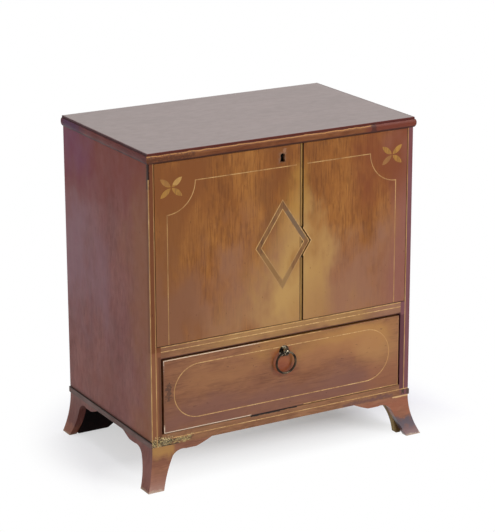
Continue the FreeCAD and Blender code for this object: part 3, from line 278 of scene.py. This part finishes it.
# doors, polished cherry: reddish at the hinge sides and the top, gold along the seam and the foot,
# where hands have rubbed the polish
doorWood = {
    "grainAxis": "Z", "cloudMm": 70.0, "roughness": 0.34, "specular": 0.2, "coat": 0.05,
    "seedPlace": (3.1, 0, 1.7), "stripeStrength": 0.32, "stripeMm": 5.0, "poreMm": 2.8,
    "poreStrength": 0.5, "figure": [(0.3, "#844e18"), (0.5, "#915920"), (0.7, "#9f672a")],
    "layers": [
        # dull lower half, gold on both sides of the seam, a paler foot
        boxStain((-0.29, None, 0.28), (0.29, None, 0.42), 0.1, "#8d6248", 0.75),
        boxStain((-0.05, None, 0.28), (0.1, None, 0.43), 0.08, "#ac854c", 0.85),
        boxStain((-0.015, None, 0.3), (0.038, None, 0.52), 0.04, "#b38d4f", 0.7),
        boxStain((0.01, None, 0.5), (0.036, None, 0.6), 0.02, "#a87c34", 0.7),
        boxStain((0.044, None, 0.28), (0.08, None, 0.5), 0.04, "#a87d41", 0.65),
        boxStain((-0.2, None, 0.28), (0.2, None, 0.33), 0.05, "#986e45", 0.6),
        # left door: brown hinge side, dark clouds beside the keyhole and over the lozenge
        boxStain((-0.32, None, 0.28), (-0.2, None, 0.66), 0.05, "#78471c", 0.85),
        boxStain((-0.3, None, 0.53), (-0.2, None, 0.68), 0.045, "#7a4416", 0.75),
        boxStain((-0.32, None, 0.28), (-0.17, None, 0.44), 0.06, "#7e543c", 0.6),
        boxStain((-0.04, None, 0.57), (0.012, None, 0.67), 0.025, "#754114", 0.8, noiseMm=30.0),
        boxStain((-0.06, None, 0.47), (-0.03, None, 0.59), 0.02, "#73451c", 0.6, noiseMm=30.0),
        # right door: red hinge side and top corner, dull foot
        boxStain((0.25, None, 0.28), (0.32, None, 0.67), 0.03, "#835145", 0.9),
        boxStain((0.17, None, 0.52), (0.3, None, 0.68), 0.05, "#733818", 0.85),
        boxStain((0.12, None, 0.28), (0.26, None, 0.42), 0.05, "#8a5e47", 0.6),
        # painted highlight round the keyhole, lighter and greyer, brightest above it
        mark((-0.0135, None, 0.622), (0.0025, None, 0.642), 0.003, "#7c6858", 0.4),
        mark((-0.003, None, 0.642), (0.002, None, 0.65), 0.002, "#9a7458", 0.6),
        # shade and dirt along the seam and under the top
        darkLine((0.0345, -0.2, 0.28), (0.0362, -0.172, 0.66), 0.0005, "#3a2210", 0.85),
        darkLine((0.0385, -0.2, 0.28), (0.0433, -0.173, 0.66), 0.0005, "#1c0d06", 0.9),
        darkLine((None, -0.2, 0.6562), (None, -0.17, 0.68), 0.0006, "#2a140c", 0.8),
        # painted shade: black in the gaps above and below the lozenge's point
        mark((0.0335, -0.2, 0.477), (0.0425, -0.172, 0.489), 0.001, "#0c0705", 1.0),
        mark((0.0335, -0.2, 0.421), (0.0425, -0.172, 0.432), 0.001, "#0c0705", 1.0),
        nicks("Z", sizeMm=3.5, reach=3.0, threshold=0.7, colour="#4c2710", strength=0.6)
    ]}
# drawer front, polished cherry laid lengthwise: gold under its top edge, red-brown below, and a dark
# red patch round the pull, the ring's painted shadow
drawerWood = {
    "grainAxis": "X", "cloudMm": 60.0, "roughness": 0.34, "seedPlace": (0, 0, 2.4),
    "stripeStrength": 0.28, "stripeMm": 6.0, "poreMm": 2.8, "poreStrength": 0.4,
    "figure": [(0.3, "#7d4a2a"), (0.5, "#875634"), (0.7, "#93623c")],
    "layers": [
        # gold along the upper half, red-brown below it
        boxStain((-0.08, None, 0.222), (0.26, None, 0.25), 0.025, "#a07036", 0.9, grainAxis="X"),
        boxStain((0.09, None, 0.21), (0.25, None, 0.245), 0.025, "#a6763a", 0.9, grainAxis="X"),
        boxStain((-0.22, None, 0.195), (-0.06, None, 0.225), 0.02, "#95643a", 0.7, grainAxis="X"),
        boxStain((0.04, None, 0.19), (0.24, None, 0.23), 0.015, "#99653a", 0.7, grainAxis="X"),
        boxStain((-0.29, None, 0.1), (0.22, None, 0.165), 0.03, "#74493a", 0.8, grainAxis="X"),
        # browner right end with a gold cloud above
        boxStain((0.2, None, 0.1), (0.3, None, 0.2), 0.04, "#8a5636", 0.6, grainAxis="X"),
        boxStain((0.17, None, 0.185), (0.28, None, 0.222), 0.028, "#a87a44", 0.6, grainAxis="X"),
        # the ring's painted shadow in dark red behind it, a dark scorch at the left and the brown left
        # edge
        boxStain((-0.028, None, 0.186), (0.02, None, 0.238), 0.01, "#8c3c1e", 0.6, noiseMm=14.0),
        mark((-0.268, None, 0.176), (-0.257, None, 0.212), 0.003, "#3a2218", 0.7, noiseMm=4.0, wander=2.5),
        boxStain((-0.3, None, 0.1), (-0.27, None, 0.27), 0.008, "#6b3f2a", 0.6),
        nicks("X", sizeMm=4.0, reach=3.0, threshold=0.7, colour="#4c2a18", strength=0.6)
    ]}
# rails, polished cherry: worn gold in the middle, pale bare chips at the left foot and a black crack
# under the drawer
railWood = {
    "grainAxis": "X", "cloudMm": 60.0, "roughness": 0.36, "stripeStrength": 0.3,
    "figure": [(0.32, "#845634"), (0.52, "#8e603c"), (0.72, "#986a42")],
    "layers": [
        # door rail: gold in the middle, brown at the left, dull at the right;
        # dark red painted shade over the drawer
        boxStain((-0.2, None, 0.26), (0.2, None, 0.3), 0.06, "#ab8344", 0.95, grainAxis="X"),
        boxStain((-0.32, None, 0.26), (-0.26, None, 0.3), 0.03, "#754a2a", 0.8, grainAxis="X"),
        boxStain((0.22, None, 0.26), (0.32, None, 0.3), 0.05, "#9a7058", 0.7, grainAxis="X"),
        darkLine((-0.32, None, 0.26), (0.32, None, 0.2673), 0.0006, "#4a180e", 0.85),
        # the black crack in the base rail
        mark((-0.078, -0.2, 0.1066), (-0.01, -0.17, 0.115), 0.0009, "#0e0908", 1.0, noiseMm=9.0),
        mark((-0.03, -0.2, 0.1076), (0.03, -0.17, 0.115), 0.0009, "#22140e", 1.0, noiseMm=9.0),
        # the chipped left end: bare wood, dirt in it and a black line below
        boxStain((-0.3, -0.19, 0.07), (-0.25, -0.17, 0.1), 0.012, "#a07638", 0.7, noiseMm=20.0),
        mark((-0.3, -0.19, 0.0865), (-0.262, -0.17, 0.099), 0.003, "#d0ba80", 1.0, noiseMm=3.5,
             wander=3.0),
        mark((-0.265, -0.19, 0.088), (-0.215, -0.17, 0.096), 0.0025, "#b09a60", 1.0, noiseMm=4.0,
             wander=3.0),
        mark((-0.3, -0.19, 0.0865), (-0.255, -0.17, 0.098), 0.002, "#33261a", 0.9, noiseMm=2.5,
             wander=6.0),
        mark((-0.26, -0.19, 0.09), (-0.21, -0.17, 0.0955), 0.0015, "#33261a", 0.7, noiseMm=2.5,
             wander=5.0),
        mark((-0.3, -0.19, 0.0845), (-0.24, -0.17, 0.0865), 0.0006, "#120b08", 1.0, noiseMm=9.0),
        # a purple bruise at the right
        mark((0.14, -0.19, 0.084), (0.262, -0.17, 0.092), 0.004, "#5b3838", 0.7, noiseMm=9.0)
    ]}
# top, worn cherry under old wax: it mirrors the pale room, so it looks grey-brown and hardly figured
topWood = {
    "grainAxis": "X", "cloudMm": 110.0, "roughness": 0.42, "specular": 0.5, "coat": 0.25, "rub": 0.01,
    "stripeStrength": 0.12, "poreStrength": 0.2, "bump": 0.05,
    "figure": [(0.3, "#5f4d49"), (0.52, "#64524e"), (0.74, "#695652")],
    "layers": [
        nicks("X", sizeMm=9.0, reach=2.0, threshold=0.7, colour="#523b36", strength=0.6)
    ]}
# front moulding, polished cherry: dark red painted shade on the crest, a thin gold painted highlight below
# it and black painted shade in the quirk below
mouldingWood = {
    "grainAxis": "X", "cloudMm": 40.0, "roughness": 0.4, "stripeStrength": 0.4, "specular": 0.12,
    "coat": 0.0, "figure": [(0.32, "#6e3c20"), (0.52, "#7a4828"), (0.72, "#885630")],
    "layers": [
        # redder right end; painted shade on the crest, a thin gold painted highlight and black painted
        # shade in the quirk
        boxStain((0.19, None, 0.6), (0.33, None, 0.7), 0.03, "#682e24", 0.8, noiseMm=30.0),
        darkLine((None, None, 0.6722), (None, None, 0.69), 0.0005, "#52201c", 0.9),
        boxStain((-0.32, None, 0.6702), (0.2, None, 0.672), 0.0005, "#c08a4a", 0.6, noiseMm=20.0,
                 wander=2.0),
        darkLine((None, None, 0.65), (None, None, 0.6598), 0.001, "#3c1c14", 0.85, wander=0.5),
        # dirt at the left end, the crack near the right end
        mark((-0.31, None, 0.6605), (-0.2, None, 0.668), 0.002, "#4a2a1c", 0.7, noiseMm=4.0, wander=3.0),
        mark((0.197, -0.2, 0.65), (0.209, -0.17, 0.676), 0.002, "#43241f", 0.8)
    ]}
# side mouldings, polished cherry: darker and redder, purple at the back corner, painted shade on the crest
# and black painted shade in the quirks
sideMouldingWood = {
    "grainAxis": "Y", "cloudMm": 40.0, "roughness": 0.42, "stripeStrength": 0.3, "specular": 0.1,
    "coat": 0.0, "figure": [(0.32, "#582624"), (0.52, "#642e2a"), (0.72, "#703832")],
    "layers": [
        # purple back corner, painted shade on the crest and in the quirk
        boxStain((None, 0.1, 0.6), (None, 0.3, 0.7), 0.05, "#452446", 0.8, noiseMm=30.0),
        darkLine((None, None, 0.6722), (None, None, 0.69), 0.0005, "#3c1a1c", 0.9),
        darkLine((None, None, 0.65), (None, None, 0.6598), 0.001, "#2c1214", 0.9, wander=0.5)
    ]}
# side feet, polished cherry: dull red-brown, browner at the toes and scuffed pale at the floor
footWood = {
    "grainAxis": "Z", "cloudMm": 40.0, "roughness": 0.4, "stripeStrength": 0.3, "specular": 0.15,
    "coat": 0.0, "figure": [(0.32, "#6e3c34"), (0.52, "#78463c"), (0.72, "#844f44")],
    "layers": [
        # brown rear toe, pinker front toe, scuffs at the floor
        boxStain((-0.33, 0.1, -0.01), (-0.28, 0.21, 0.02), 0.008, "#8a5640", 0.7, noiseMm=12.0),
        boxStain((-0.33, -0.22, -0.01), (-0.28, -0.12, 0.05), 0.02, "#88584e", 0.7, noiseMm=20.0),
        mark((None, None, -0.01), (None, None, 0.003), 0.002, "#a89078", 0.6)
    ]}
# front feet, polished cherry: gold below the chipped corner, a grey-purple worn band on the right foot
frontFootWood = {
    "grainAxis": "X", "cloudMm": 45.0, "roughness": 0.38, "stripeStrength": 0.2,
    "figure": [(0.32, "#835038"), (0.52, "#8f5c40"), (0.72, "#996648")],
    "layers": [
        # left foot: gold under the chip, a brown line, red-brown toe
        boxStain((-0.31, None, 0.062), (-0.25, None, 0.09), 0.01, "#a87c3e", 0.8, noiseMm=20.0),
        boxStain((-0.31, None, 0.046), (-0.25, None, 0.056), 0.006, "#74422c", 0.5, noiseMm=20.0),
        boxStain((-0.33, None, -0.01), (-0.22, None, 0.03), 0.012, "#84503e", 0.6, noiseMm=20.0),
        # right foot: red upper part, a pale scuff, the grey band and a purple toe
        boxStain((0.2, None, 0.05), (0.31, None, 0.078), 0.012, "#8d4e34", 0.6, noiseMm=20.0),
        mark((0.262, None, 0.0815), (0.32, None, 0.087), 0.0008, "#d0aa74", 0.9),
        mark((0.25, None, 0.014), (0.35, None, 0.036), 0.006, "#4a424c", 0.9, noiseMm=12.0),
        mark((0.25, None, -0.01), (0.35, None, 0.016), 0.004, "#624448", 0.8, noiseMm=12.0),
        # scuffs at the floor
        mark((None, None, -0.01), (None, None, 0.003), 0.002, "#a89078", 0.7)
    ]}
# base strips, cherry gone grey with dust, under a black line of dirt
stripWood = {
    "grainAxis": "Y", "cloudMm": 40.0, "roughness": 0.45, "specular": 0.15, "coat": 0.0,
    "figure": [(0.32, "#5a423c"), (0.52, "#664c44"), (0.72, "#725650")],
    "layers": [
        boxStain((None, None, 0.0945), (None, None, 0.099), 0.0008, "#241816", 0.9)
    ]}
# stringing, holly yellowed by old polish: a thin pale gold line
stringWood = {
    "grainAxis": "Z", "cloudMm": 25.0, "roughness": 0.4,
    "figure": [(0.34, "#b4884e"), (0.5, "#cea266"), (0.7, "#dcb67a")]}
# door and corner stringing, the same holly rubbed thin: faint around the hollow corners
wornString = dict(
    stringWood, figure=[(0.34, "#a0743e"), (0.5, "#bc9256"), (0.7, "#caa468")],
    layers=[
        # faint at the hollow corners and down the outer sides
        mark((-0.3, None, 0.56), (-0.222, None, 0.64), 0.004, "#94642e", 0.6),
        mark((0.225, None, 0.56), (0.3, None, 0.66), 0.004, "#94642e", 0.65),
        mark((0.225, None, 0.28), (0.26, None, 0.56), 0.01, "#946440", 0.35),
        mark((-0.31, None, 0.28), (-0.26, None, 0.5), 0.01, "#94683a", 0.5)
    ])
# lozenge stringing, the same worn holly: almost lost in the lower half
lozengeString = dict(
    wornString,
    layers=[
        mark((-0.07, None, 0.34), (0.04, None, 0.435), 0.008, "#9a7444", 0.8)
    ])
# the drawer's edge lines: holly too, pale at the left, brown down both ends and at the top right
edgeString = dict(
    stringWood,
    layers=[
        # brown left end, pale bottom left, lost in the middle, pale top left
        mark((-0.3, None, 0.125), (-0.262, None, 0.28), 0.004, "#6b3f2a", 0.9),
        mark((-0.3, None, 0.1), (-0.08, None, 0.125), 0.006, "#d8c4ae", 0.8),
        mark((-0.08, None, 0.1), (0.045, None, 0.125), 0.003, "#6a4232", 1.0),
        mark((-0.3, None, 0.25), (-0.06, None, 0.28), 0.01, "#e0ccb2", 0.7),
        # lost at the top right, faint down the right end
        mark((0.08, None, 0.25), (0.3, None, 0.28), 0.01, "#7c4c30", 0.85),
        mark((0.262, None, 0.125), (0.3, None, 0.25), 0.004, "#8a5a38", 0.75)
    ])
# the oval line, holly worn faint at its right end
ovalString = dict(
    stringWood,
    layers=[
        mark((0.2, None, 0.165), (0.3, None, 0.235), 0.008, "#aa7840", 0.75)
    ])
# petals, maple shaded in hot sand: gold with browner tips
petalWood = {
    "grainAxis": "Z", "cloudMm": 18.0, "roughness": 0.38,
    "figure": [(0.32, "#936222"), (0.52, "#a67628"), (0.72, "#b88836")],
    "layers": [
        # painted sheen of the grain: left flower a dark and a bright upper petal, right flower a dark
        # lower petal
        mark((-0.29, None, 0.609), (-0.2485, None, 0.65), 0.001, "#8a5a26", 0.6),
        mark((-0.2475, None, 0.609), (-0.2, None, 0.65), 0.001, "#c49a54", 0.5),
        mark((0.2, None, 0.57), (0.2475, None, 0.608), 0.001, "#84542a", 0.7)
    ]}
# lozenge band, darker cherry laid across: a brown frame, greyer where it is bruised near the point
bandWood = {
    "grainAxis": "Z", "cloudMm": 14.0, "roughness": 0.38,
    "figure": [(0.32, "#70481e"), (0.52, "#7e5426"), (0.72, "#8c6230")],
    "layers": [
        # bruised grey above the point, paler below, brown at the lower left
        mark((-0.002, None, 0.46), (0.07, None, 0.524), 0.004, "#6a5238", 0.85),
        boxStain((-0.1, None, 0.3), (0.02, None, 0.44), 0.01, "#967240", 0.75),
        mark((-0.07, None, 0.34), (-0.012, None, 0.44), 0.006, "#7e5628", 0.7)
    ]}
# meeting bead, cherry rubbed bright: a thin gold edge beside the dark seam
beadWood = {
    "grainAxis": "Z", "cloudMm": 30.0, "roughness": 0.34,
    "figure": [(0.32, "#93702e"), (0.52, "#a07a38"), (0.72, "#aa8444")]}
# bare poplar gone brown with age: matt straw brown; each board of the back has its own figure, and
# dirt darkens the laps
bareWood = {
    "grainAxis": "X", "cloudMm": 60.0, "roughness": 0.62, "coat": 0.0, "specular": 0.2, "stripeMm": 7.0,
    "stripeDark": "#b9a68c", "mottle": 0.2,
    "figure": [(0.3, "#8a6d48"), (0.5, "#977a52"), (0.7, "#a4885e")]}
lowerBack = dict(
    bareWood, seedPlace=(4.0, 0, 1.3), figure=[(0.3, "#7c5f3e"), (0.5, "#896c48"), (0.7, "#977a52")],
    layers=[
        darkLine((None, None, 0.2748), (None, None, 0.3), 0.0005, "#2a1e14", 0.9)
    ])
middleBack = dict(
    bareWood, seedPlace=(8.5, 0, 5.1),
    layers=[
        darkLine((None, None, 0.26), (None, None, 0.2772), 0.0005, "#2a1e14", 0.9),
        darkLine((None, None, 0.4666), (None, None, 0.49), 0.0005, "#2a1e14", 0.9)
    ])
upperBack = dict(
    bareWood, seedPlace=(1.7, 0, 9.4), figure=[(0.3, "#846742"), (0.5, "#92754e"), (0.7, "#a0835a")],
    layers=[
        darkLine((None, None, 0.44), (None, None, 0.4688), 0.0005, "#2a1e14", 0.9)
    ])
# bare poplar with its grain front to back: drawer sides, guides and cleats
drawerSideWood = dict(bareWood, grainAxis="Y", seedPlace=(2.2, 3.3, 0))
# front foot backings, split poplar: ragged olive and straw
backingWood = {
    "grainAxis": "Z", "cloudMm": 12.0, "roughness": 0.6, "coat": 0.0,
    "figure": [(0.36, "#6a5230"), (0.5, "#9a7e4a"), (0.66, "#c4ac74")]}
# rear brackets and glue blocks, poplar coloured almost black as painted shade: the dark hollow behind the
# feet
paintedShadeWood = {
    "grainAxis": "X", "cloudMm": 30.0, "roughness": 0.6, "coat": 0.0, "specular": 0.05,
    "figure": [(0.36, "#0c0707"), (0.52, "#180d0e"), (0.68, "#2c1718")]}
# ring, pivots and plates, cast brass under a black skin: dark with rubbed glints
blackBrass = {
    "patchMm": 14.0, "metallic": 0.9, "roughness": 0.32,
    "skin": [(0.4, "#1f1915"), (0.56, "#463a2d"), (0.72, "#8f8067")]}
# the pull's post, a rough sand casting: black in the hollows, bright on every rubbed lump
castBoss = {
    "patchMm": 5.0, "metallic": 0.9, "roughness": 0.3, "bump": 1.0,
    "skin": [(0.42, "#120e0b"), (0.52, "#4b4236"), (0.6, "#b4a88e")]}
# bolts, forged iron: dull grey-black with a soft shine
dullIron = {
    "patchMm": 4.0, "metallic": 0.8, "roughness": 0.55,
    "skin": [(0.35, "#1d1a18"), (0.55, "#332d29"), (0.75, "#55493f")]}
# the lock behind the keyhole, iron coloured near black and dull as painted shade, so the hole reads black
lockIronPaintedShade = {
    "patchMm": 6.0, "metallic": 0.0, "roughness": 0.8, "specular": 0.05,
    "skin": [(0.35, "#080605"), (0.55, "#0c0a08"), (0.75, "#14100c")]}

# a finish for each material slot of the record, then the pieces that have one of their own
finishes = {
    "side_wood": polishedWood("polishedCherrySide", sideWood),
    "front_wood": polishedWood("polishedCherryRail", railWood),
    "top_wood": polishedWood("wornCherryTop", topWood),
    "moulding_wood": polishedWood("polishedMoulding", mouldingWood),
    "foot_wood": polishedWood("polishedCherryFoot", footWood),
    "bead_wood": polishedWood("polishedBead", beadWood),
    "string_wood": polishedWood("hollyStringing", stringWood),
    "petal_wood": polishedWood("shadedMaplePetals", petalWood),
    "band_wood": polishedWood("darkCrossbanding", bandWood),
    "secondary_wood": polishedWood("barePoplar", bareWood),
    "old_brass": oldMetal("blackenedBrass", blackBrass),
    "old_iron": oldMetal("forgedIron", dullIron),
}
doorFinish = polishedWood("polishedCherryDoors", doorWood)
frontFootFinish = polishedWood("polishedFrontFoot", frontFootWood)
stripFinish = polishedWood("greyedBaseStrip", stripWood)
# near black for the rear brackets and glue blocks: painted shade behind the feet
paintedShadeFinish = polishedWood("paintedShadeFootBracket", paintedShadeWood)
drawerSideFinish = polishedWood("barePoplarDrawerSide", drawerSideWood)
sideMouldingFinish = polishedWood("darkSideMoulding", sideMouldingWood)
wornStringFinish = polishedWood("wornDoorStringing", wornString)
ownFinish = {
    "left_door": doorFinish, "right_door": doorFinish,
    "drawer_front": polishedWood("polishedCherryDrawer", drawerWood),
    "right_side": polishedWood("polishedCherryRightSide", rightSideWood),
    "front_left_foot_front": frontFootFinish, "front_right_foot_front": frontFootFinish,
    "left_base_strip": stripFinish, "right_base_strip": stripFinish,
    "front_foot_backings": polishedWood("wornFootBacking", backingWood),
    "rear_foot_brackets": paintedShadeFinish, "foot_blocks": paintedShadeFinish,
    "left_door_string": wornStringFinish, "right_door_string": wornStringFinish,
    "left_corner_strings": wornStringFinish, "right_corner_string": wornStringFinish,
    "top_left_moulding": sideMouldingFinish, "top_right_moulding": sideMouldingFinish,
    "back_board_lower": polishedWood("agedLowerBackBoard", lowerBack),
    "back_board_middle": polishedWood("agedMiddleBackBoard", middleBack),
    "back_board_upper": polishedWood("agedUpperBackBoard", upperBack),
    "drawer_left_side": drawerSideFinish, "drawer_right_side": drawerSideFinish,
    "drawer_guides": drawerSideFinish, "shelf_cleats": drawerSideFinish,
    "lozenge_strings": polishedWood("wornLozengeStringing", lozengeString),
    "drawer_oval_string": polishedWood("wornOvalStringing", ovalString),
    "drawer_edge_string": polishedWood("wornDrawerEdgeStringing", edgeString),
    # the lock behind the keyhole is coloured near black as painted shade
    "lock_case": oldMetal("nearBlackLockPaintedShade", lockIronPaintedShade),
    "pull_boss": oldMetal("castBrassBoss", castBoss),
}
slotOf = {entry["node"]: entry["material_slot"] for entry in frame["record"]["subparts"]}
for name, piece in nodes.items():
    piece.data.materials.clear()
    piece.data.materials.append(ownFinish.get(name, finishes[slotOf[name]]))
print("materials set")

# floor and backdrop, in metres: the shadow is lifted more on the left than on the right, and it fades
# to white away from a middle and towards the front
studio = {"floorHex": "#f6f7ff", "floorHalf": 30.0, "liftLeft": 0.56, "liftRight": 0.25, "liftFrom": -0.28,
          "liftTo": 0.34, "fadeMiddle": (0.03, 0, 0), "fadeStart": 0.36, "fadeEnd": 0.5,
          "frontStart": -0.02, "frontEnd": -0.19, "worldStrength": 0.3}
# soft square lamps: watts, side in metres, where they hang and what they point at
lamps = {"keyLamp": {"watts": 72.0, "side": 1.6, "place": (1.7, -2.8, 1.9), "target": (0, 0, 0.3)},
         "leftLamp": {"watts": 15.0, "side": 1.8, "place": (-2.8, -0.4, 1.6), "target": (0, 0, 0.35)},
         "topLamp": {"watts": 54.0, "side": 1.8, "place": (0.1, 0.2, 2.9), "target": (0, 0, 0)}}
# the photograph's view: a long lens from the left front, a little above; right, up and look are its axes
view = {"sensorMm": 36.0, "lensMm": 142.99, "shiftY": -0.04, "clipEnd": 100,
        "place": (-2.0497, -3.5932, 1.6455),
        "right": (0.866494, -0.49918, -0.00273), "up": (0.145202, 0.246806, 0.958125),
        "look": (0.477603, 0.830606, -0.286338)}


# one for the rays that look at the backdrop, straight, mirrored or through something clear
def seenRays(tree):
    rays = addNode(tree, "ShaderNodeLightPath")
    first = addNode(tree, "ShaderNodeMath", {"operation": "MAXIMUM"},
                    links={0: rays.outputs["Is Camera Ray"], 1: rays.outputs["Is Glossy Ray"]})
    return addNode(tree, "ShaderNodeMath", {"operation": "MAXIMUM"},
                   links={0: first.outputs[0], 1: rays.outputs["Is Transmission Ray"]})


# pale sweep that keeps the shadow under and beside the chest and fades to white in front and further out
def makeFloor():
    mesh = bpy.data.meshes.new("studioFloor")
    shape = bmesh.new()
    half = studio["floorHalf"]
    corners = ((-half, -half), (half, -half), (half, half), (-half, half))
    shape.faces.new([shape.verts.new((x, y, 0)) for x, y in corners])
    shape.to_mesh(mesh)
    shape.free()
    floor = bpy.data.objects.new("studioFloor", mesh)
    bpy.context.scene.collection.objects.link(floor)
    material, tree = newMaterial("paleFloor")
    lit = addNode(tree, "ShaderNodeBsdfDiffuse", values={"Color": toLinear(studio["floorHex"])})
    white = addNode(tree, "ShaderNodeEmission", values={"Color": (1, 1, 1, 1), "Strength": 1.0})
    place = addNode(tree, "ShaderNodeTexCoord")
    split = addNode(tree, "ShaderNodeSeparateXYZ", links={"Vector": place.outputs["Object"]})
    lift = addNode(tree, "ShaderNodeMapRange",
                   values={"From Min": studio["liftFrom"], "From Max": studio["liftTo"],
                           "To Min": studio["liftLeft"], "To Max": studio["liftRight"]},
                   links={"Value": split.outputs["X"]})
    moved = addNode(tree, "ShaderNodeVectorMath", {"operation": "SUBTRACT"},
                    {1: studio["fadeMiddle"]}, {0: place.outputs["Object"]})
    away = addNode(tree, "ShaderNodeVectorMath", {"operation": "LENGTH"},
                   links={0: moved.outputs["Vector"]})
    fade = addNode(tree, "ShaderNodeMapRange", {"interpolation_type": "SMOOTHSTEP"},
                   {"From Min": studio["fadeStart"], "From Max": studio["fadeEnd"], "To Max": 1.0},
                   {"Value": away.outputs["Value"], "To Min": lift.outputs["Result"]})
    front = addNode(tree, "ShaderNodeMapRange",
                    values={"From Min": studio["frontStart"], "From Max": studio["frontEnd"],
                            "To Max": 1.0},
                    links={"Value": split.outputs["Y"], "To Min": lift.outputs["Result"]})
    pale = addNode(tree, "ShaderNodeMath", {"operation": "MAXIMUM"},
                   links={0: fade.outputs["Result"], 1: front.outputs["Result"]})
    seen = seenRays(tree)
    share = addNode(tree, "ShaderNodeMath", {"operation": "MULTIPLY"},
                    links={0: pale.outputs[0], 1: seen.outputs[0]})
    mixed = addNode(tree, "ShaderNodeMixShader",
                    links={0: share.outputs[0], 1: lit.outputs[0], 2: white.outputs[0]})
    finishMaterial(tree, mixed)
    mesh.materials.append(material)


# white for the rays that see it, a weaker soft light for the chest
def makeWorld():
    world = bpy.data.worlds.new("studioWorld")
    world.use_nodes = True
    tree = world.node_tree
    tree.nodes.clear()
    seen = seenRays(tree)
    soft = addNode(tree, "ShaderNodeBackground",
                   values={"Color": (1, 1, 1, 1), "Strength": studio["worldStrength"]})
    white = addNode(tree, "ShaderNodeBackground", values={"Color": (1, 1, 1, 1), "Strength": 1.0})
    mixed = addNode(tree, "ShaderNodeMixShader",
                    links={0: seen.outputs[0], 1: soft.outputs[0], 2: white.outputs[0]})
    output = tree.nodes.new("ShaderNodeOutputWorld")
    tree.links.new(mixed.outputs[0], output.inputs["Surface"])
    bpy.context.scene.world = world


def areaLamp(name, lamp):
    data = bpy.data.lights.new(name, "AREA")
    data.energy = lamp["watts"]
    data.shape = "SQUARE"
    data.size = lamp["side"]
    holder = bpy.data.objects.new(name, data)
    holder.location = lamp["place"]
    holder.rotation_mode = "QUATERNION"
    aim = Vector(lamp["target"]) - Vector(lamp["place"])
    holder.rotation_quaternion = aim.to_track_quat("-Z", "Y")
    bpy.context.scene.collection.objects.link(holder)


def makeCamera():
    data = bpy.data.cameras.new("studioCamera")
    data.sensor_width = view["sensorMm"]
    data.lens = view["lensMm"]
    data.shift_y = view["shiftY"]
    data.clip_end = view["clipEnd"]
    camera = bpy.data.objects.new("studioCamera", data)
    bpy.context.scene.collection.objects.link(camera)
    turn = Matrix((Vector(view["right"]), Vector(view["up"]), -Vector(view["look"]))).transposed()
    camera.rotation_mode = "QUATERNION"
    camera.rotation_quaternion = turn.to_quaternion()
    camera.location = view["place"]
    bpy.context.scene.camera = camera


makeFloor()
makeWorld()
for name, lamp in lamps.items():
    areaLamp(name, lamp)
makeCamera()
bpy.context.scene.view_settings.view_transform = "Standard"
print("studio set")
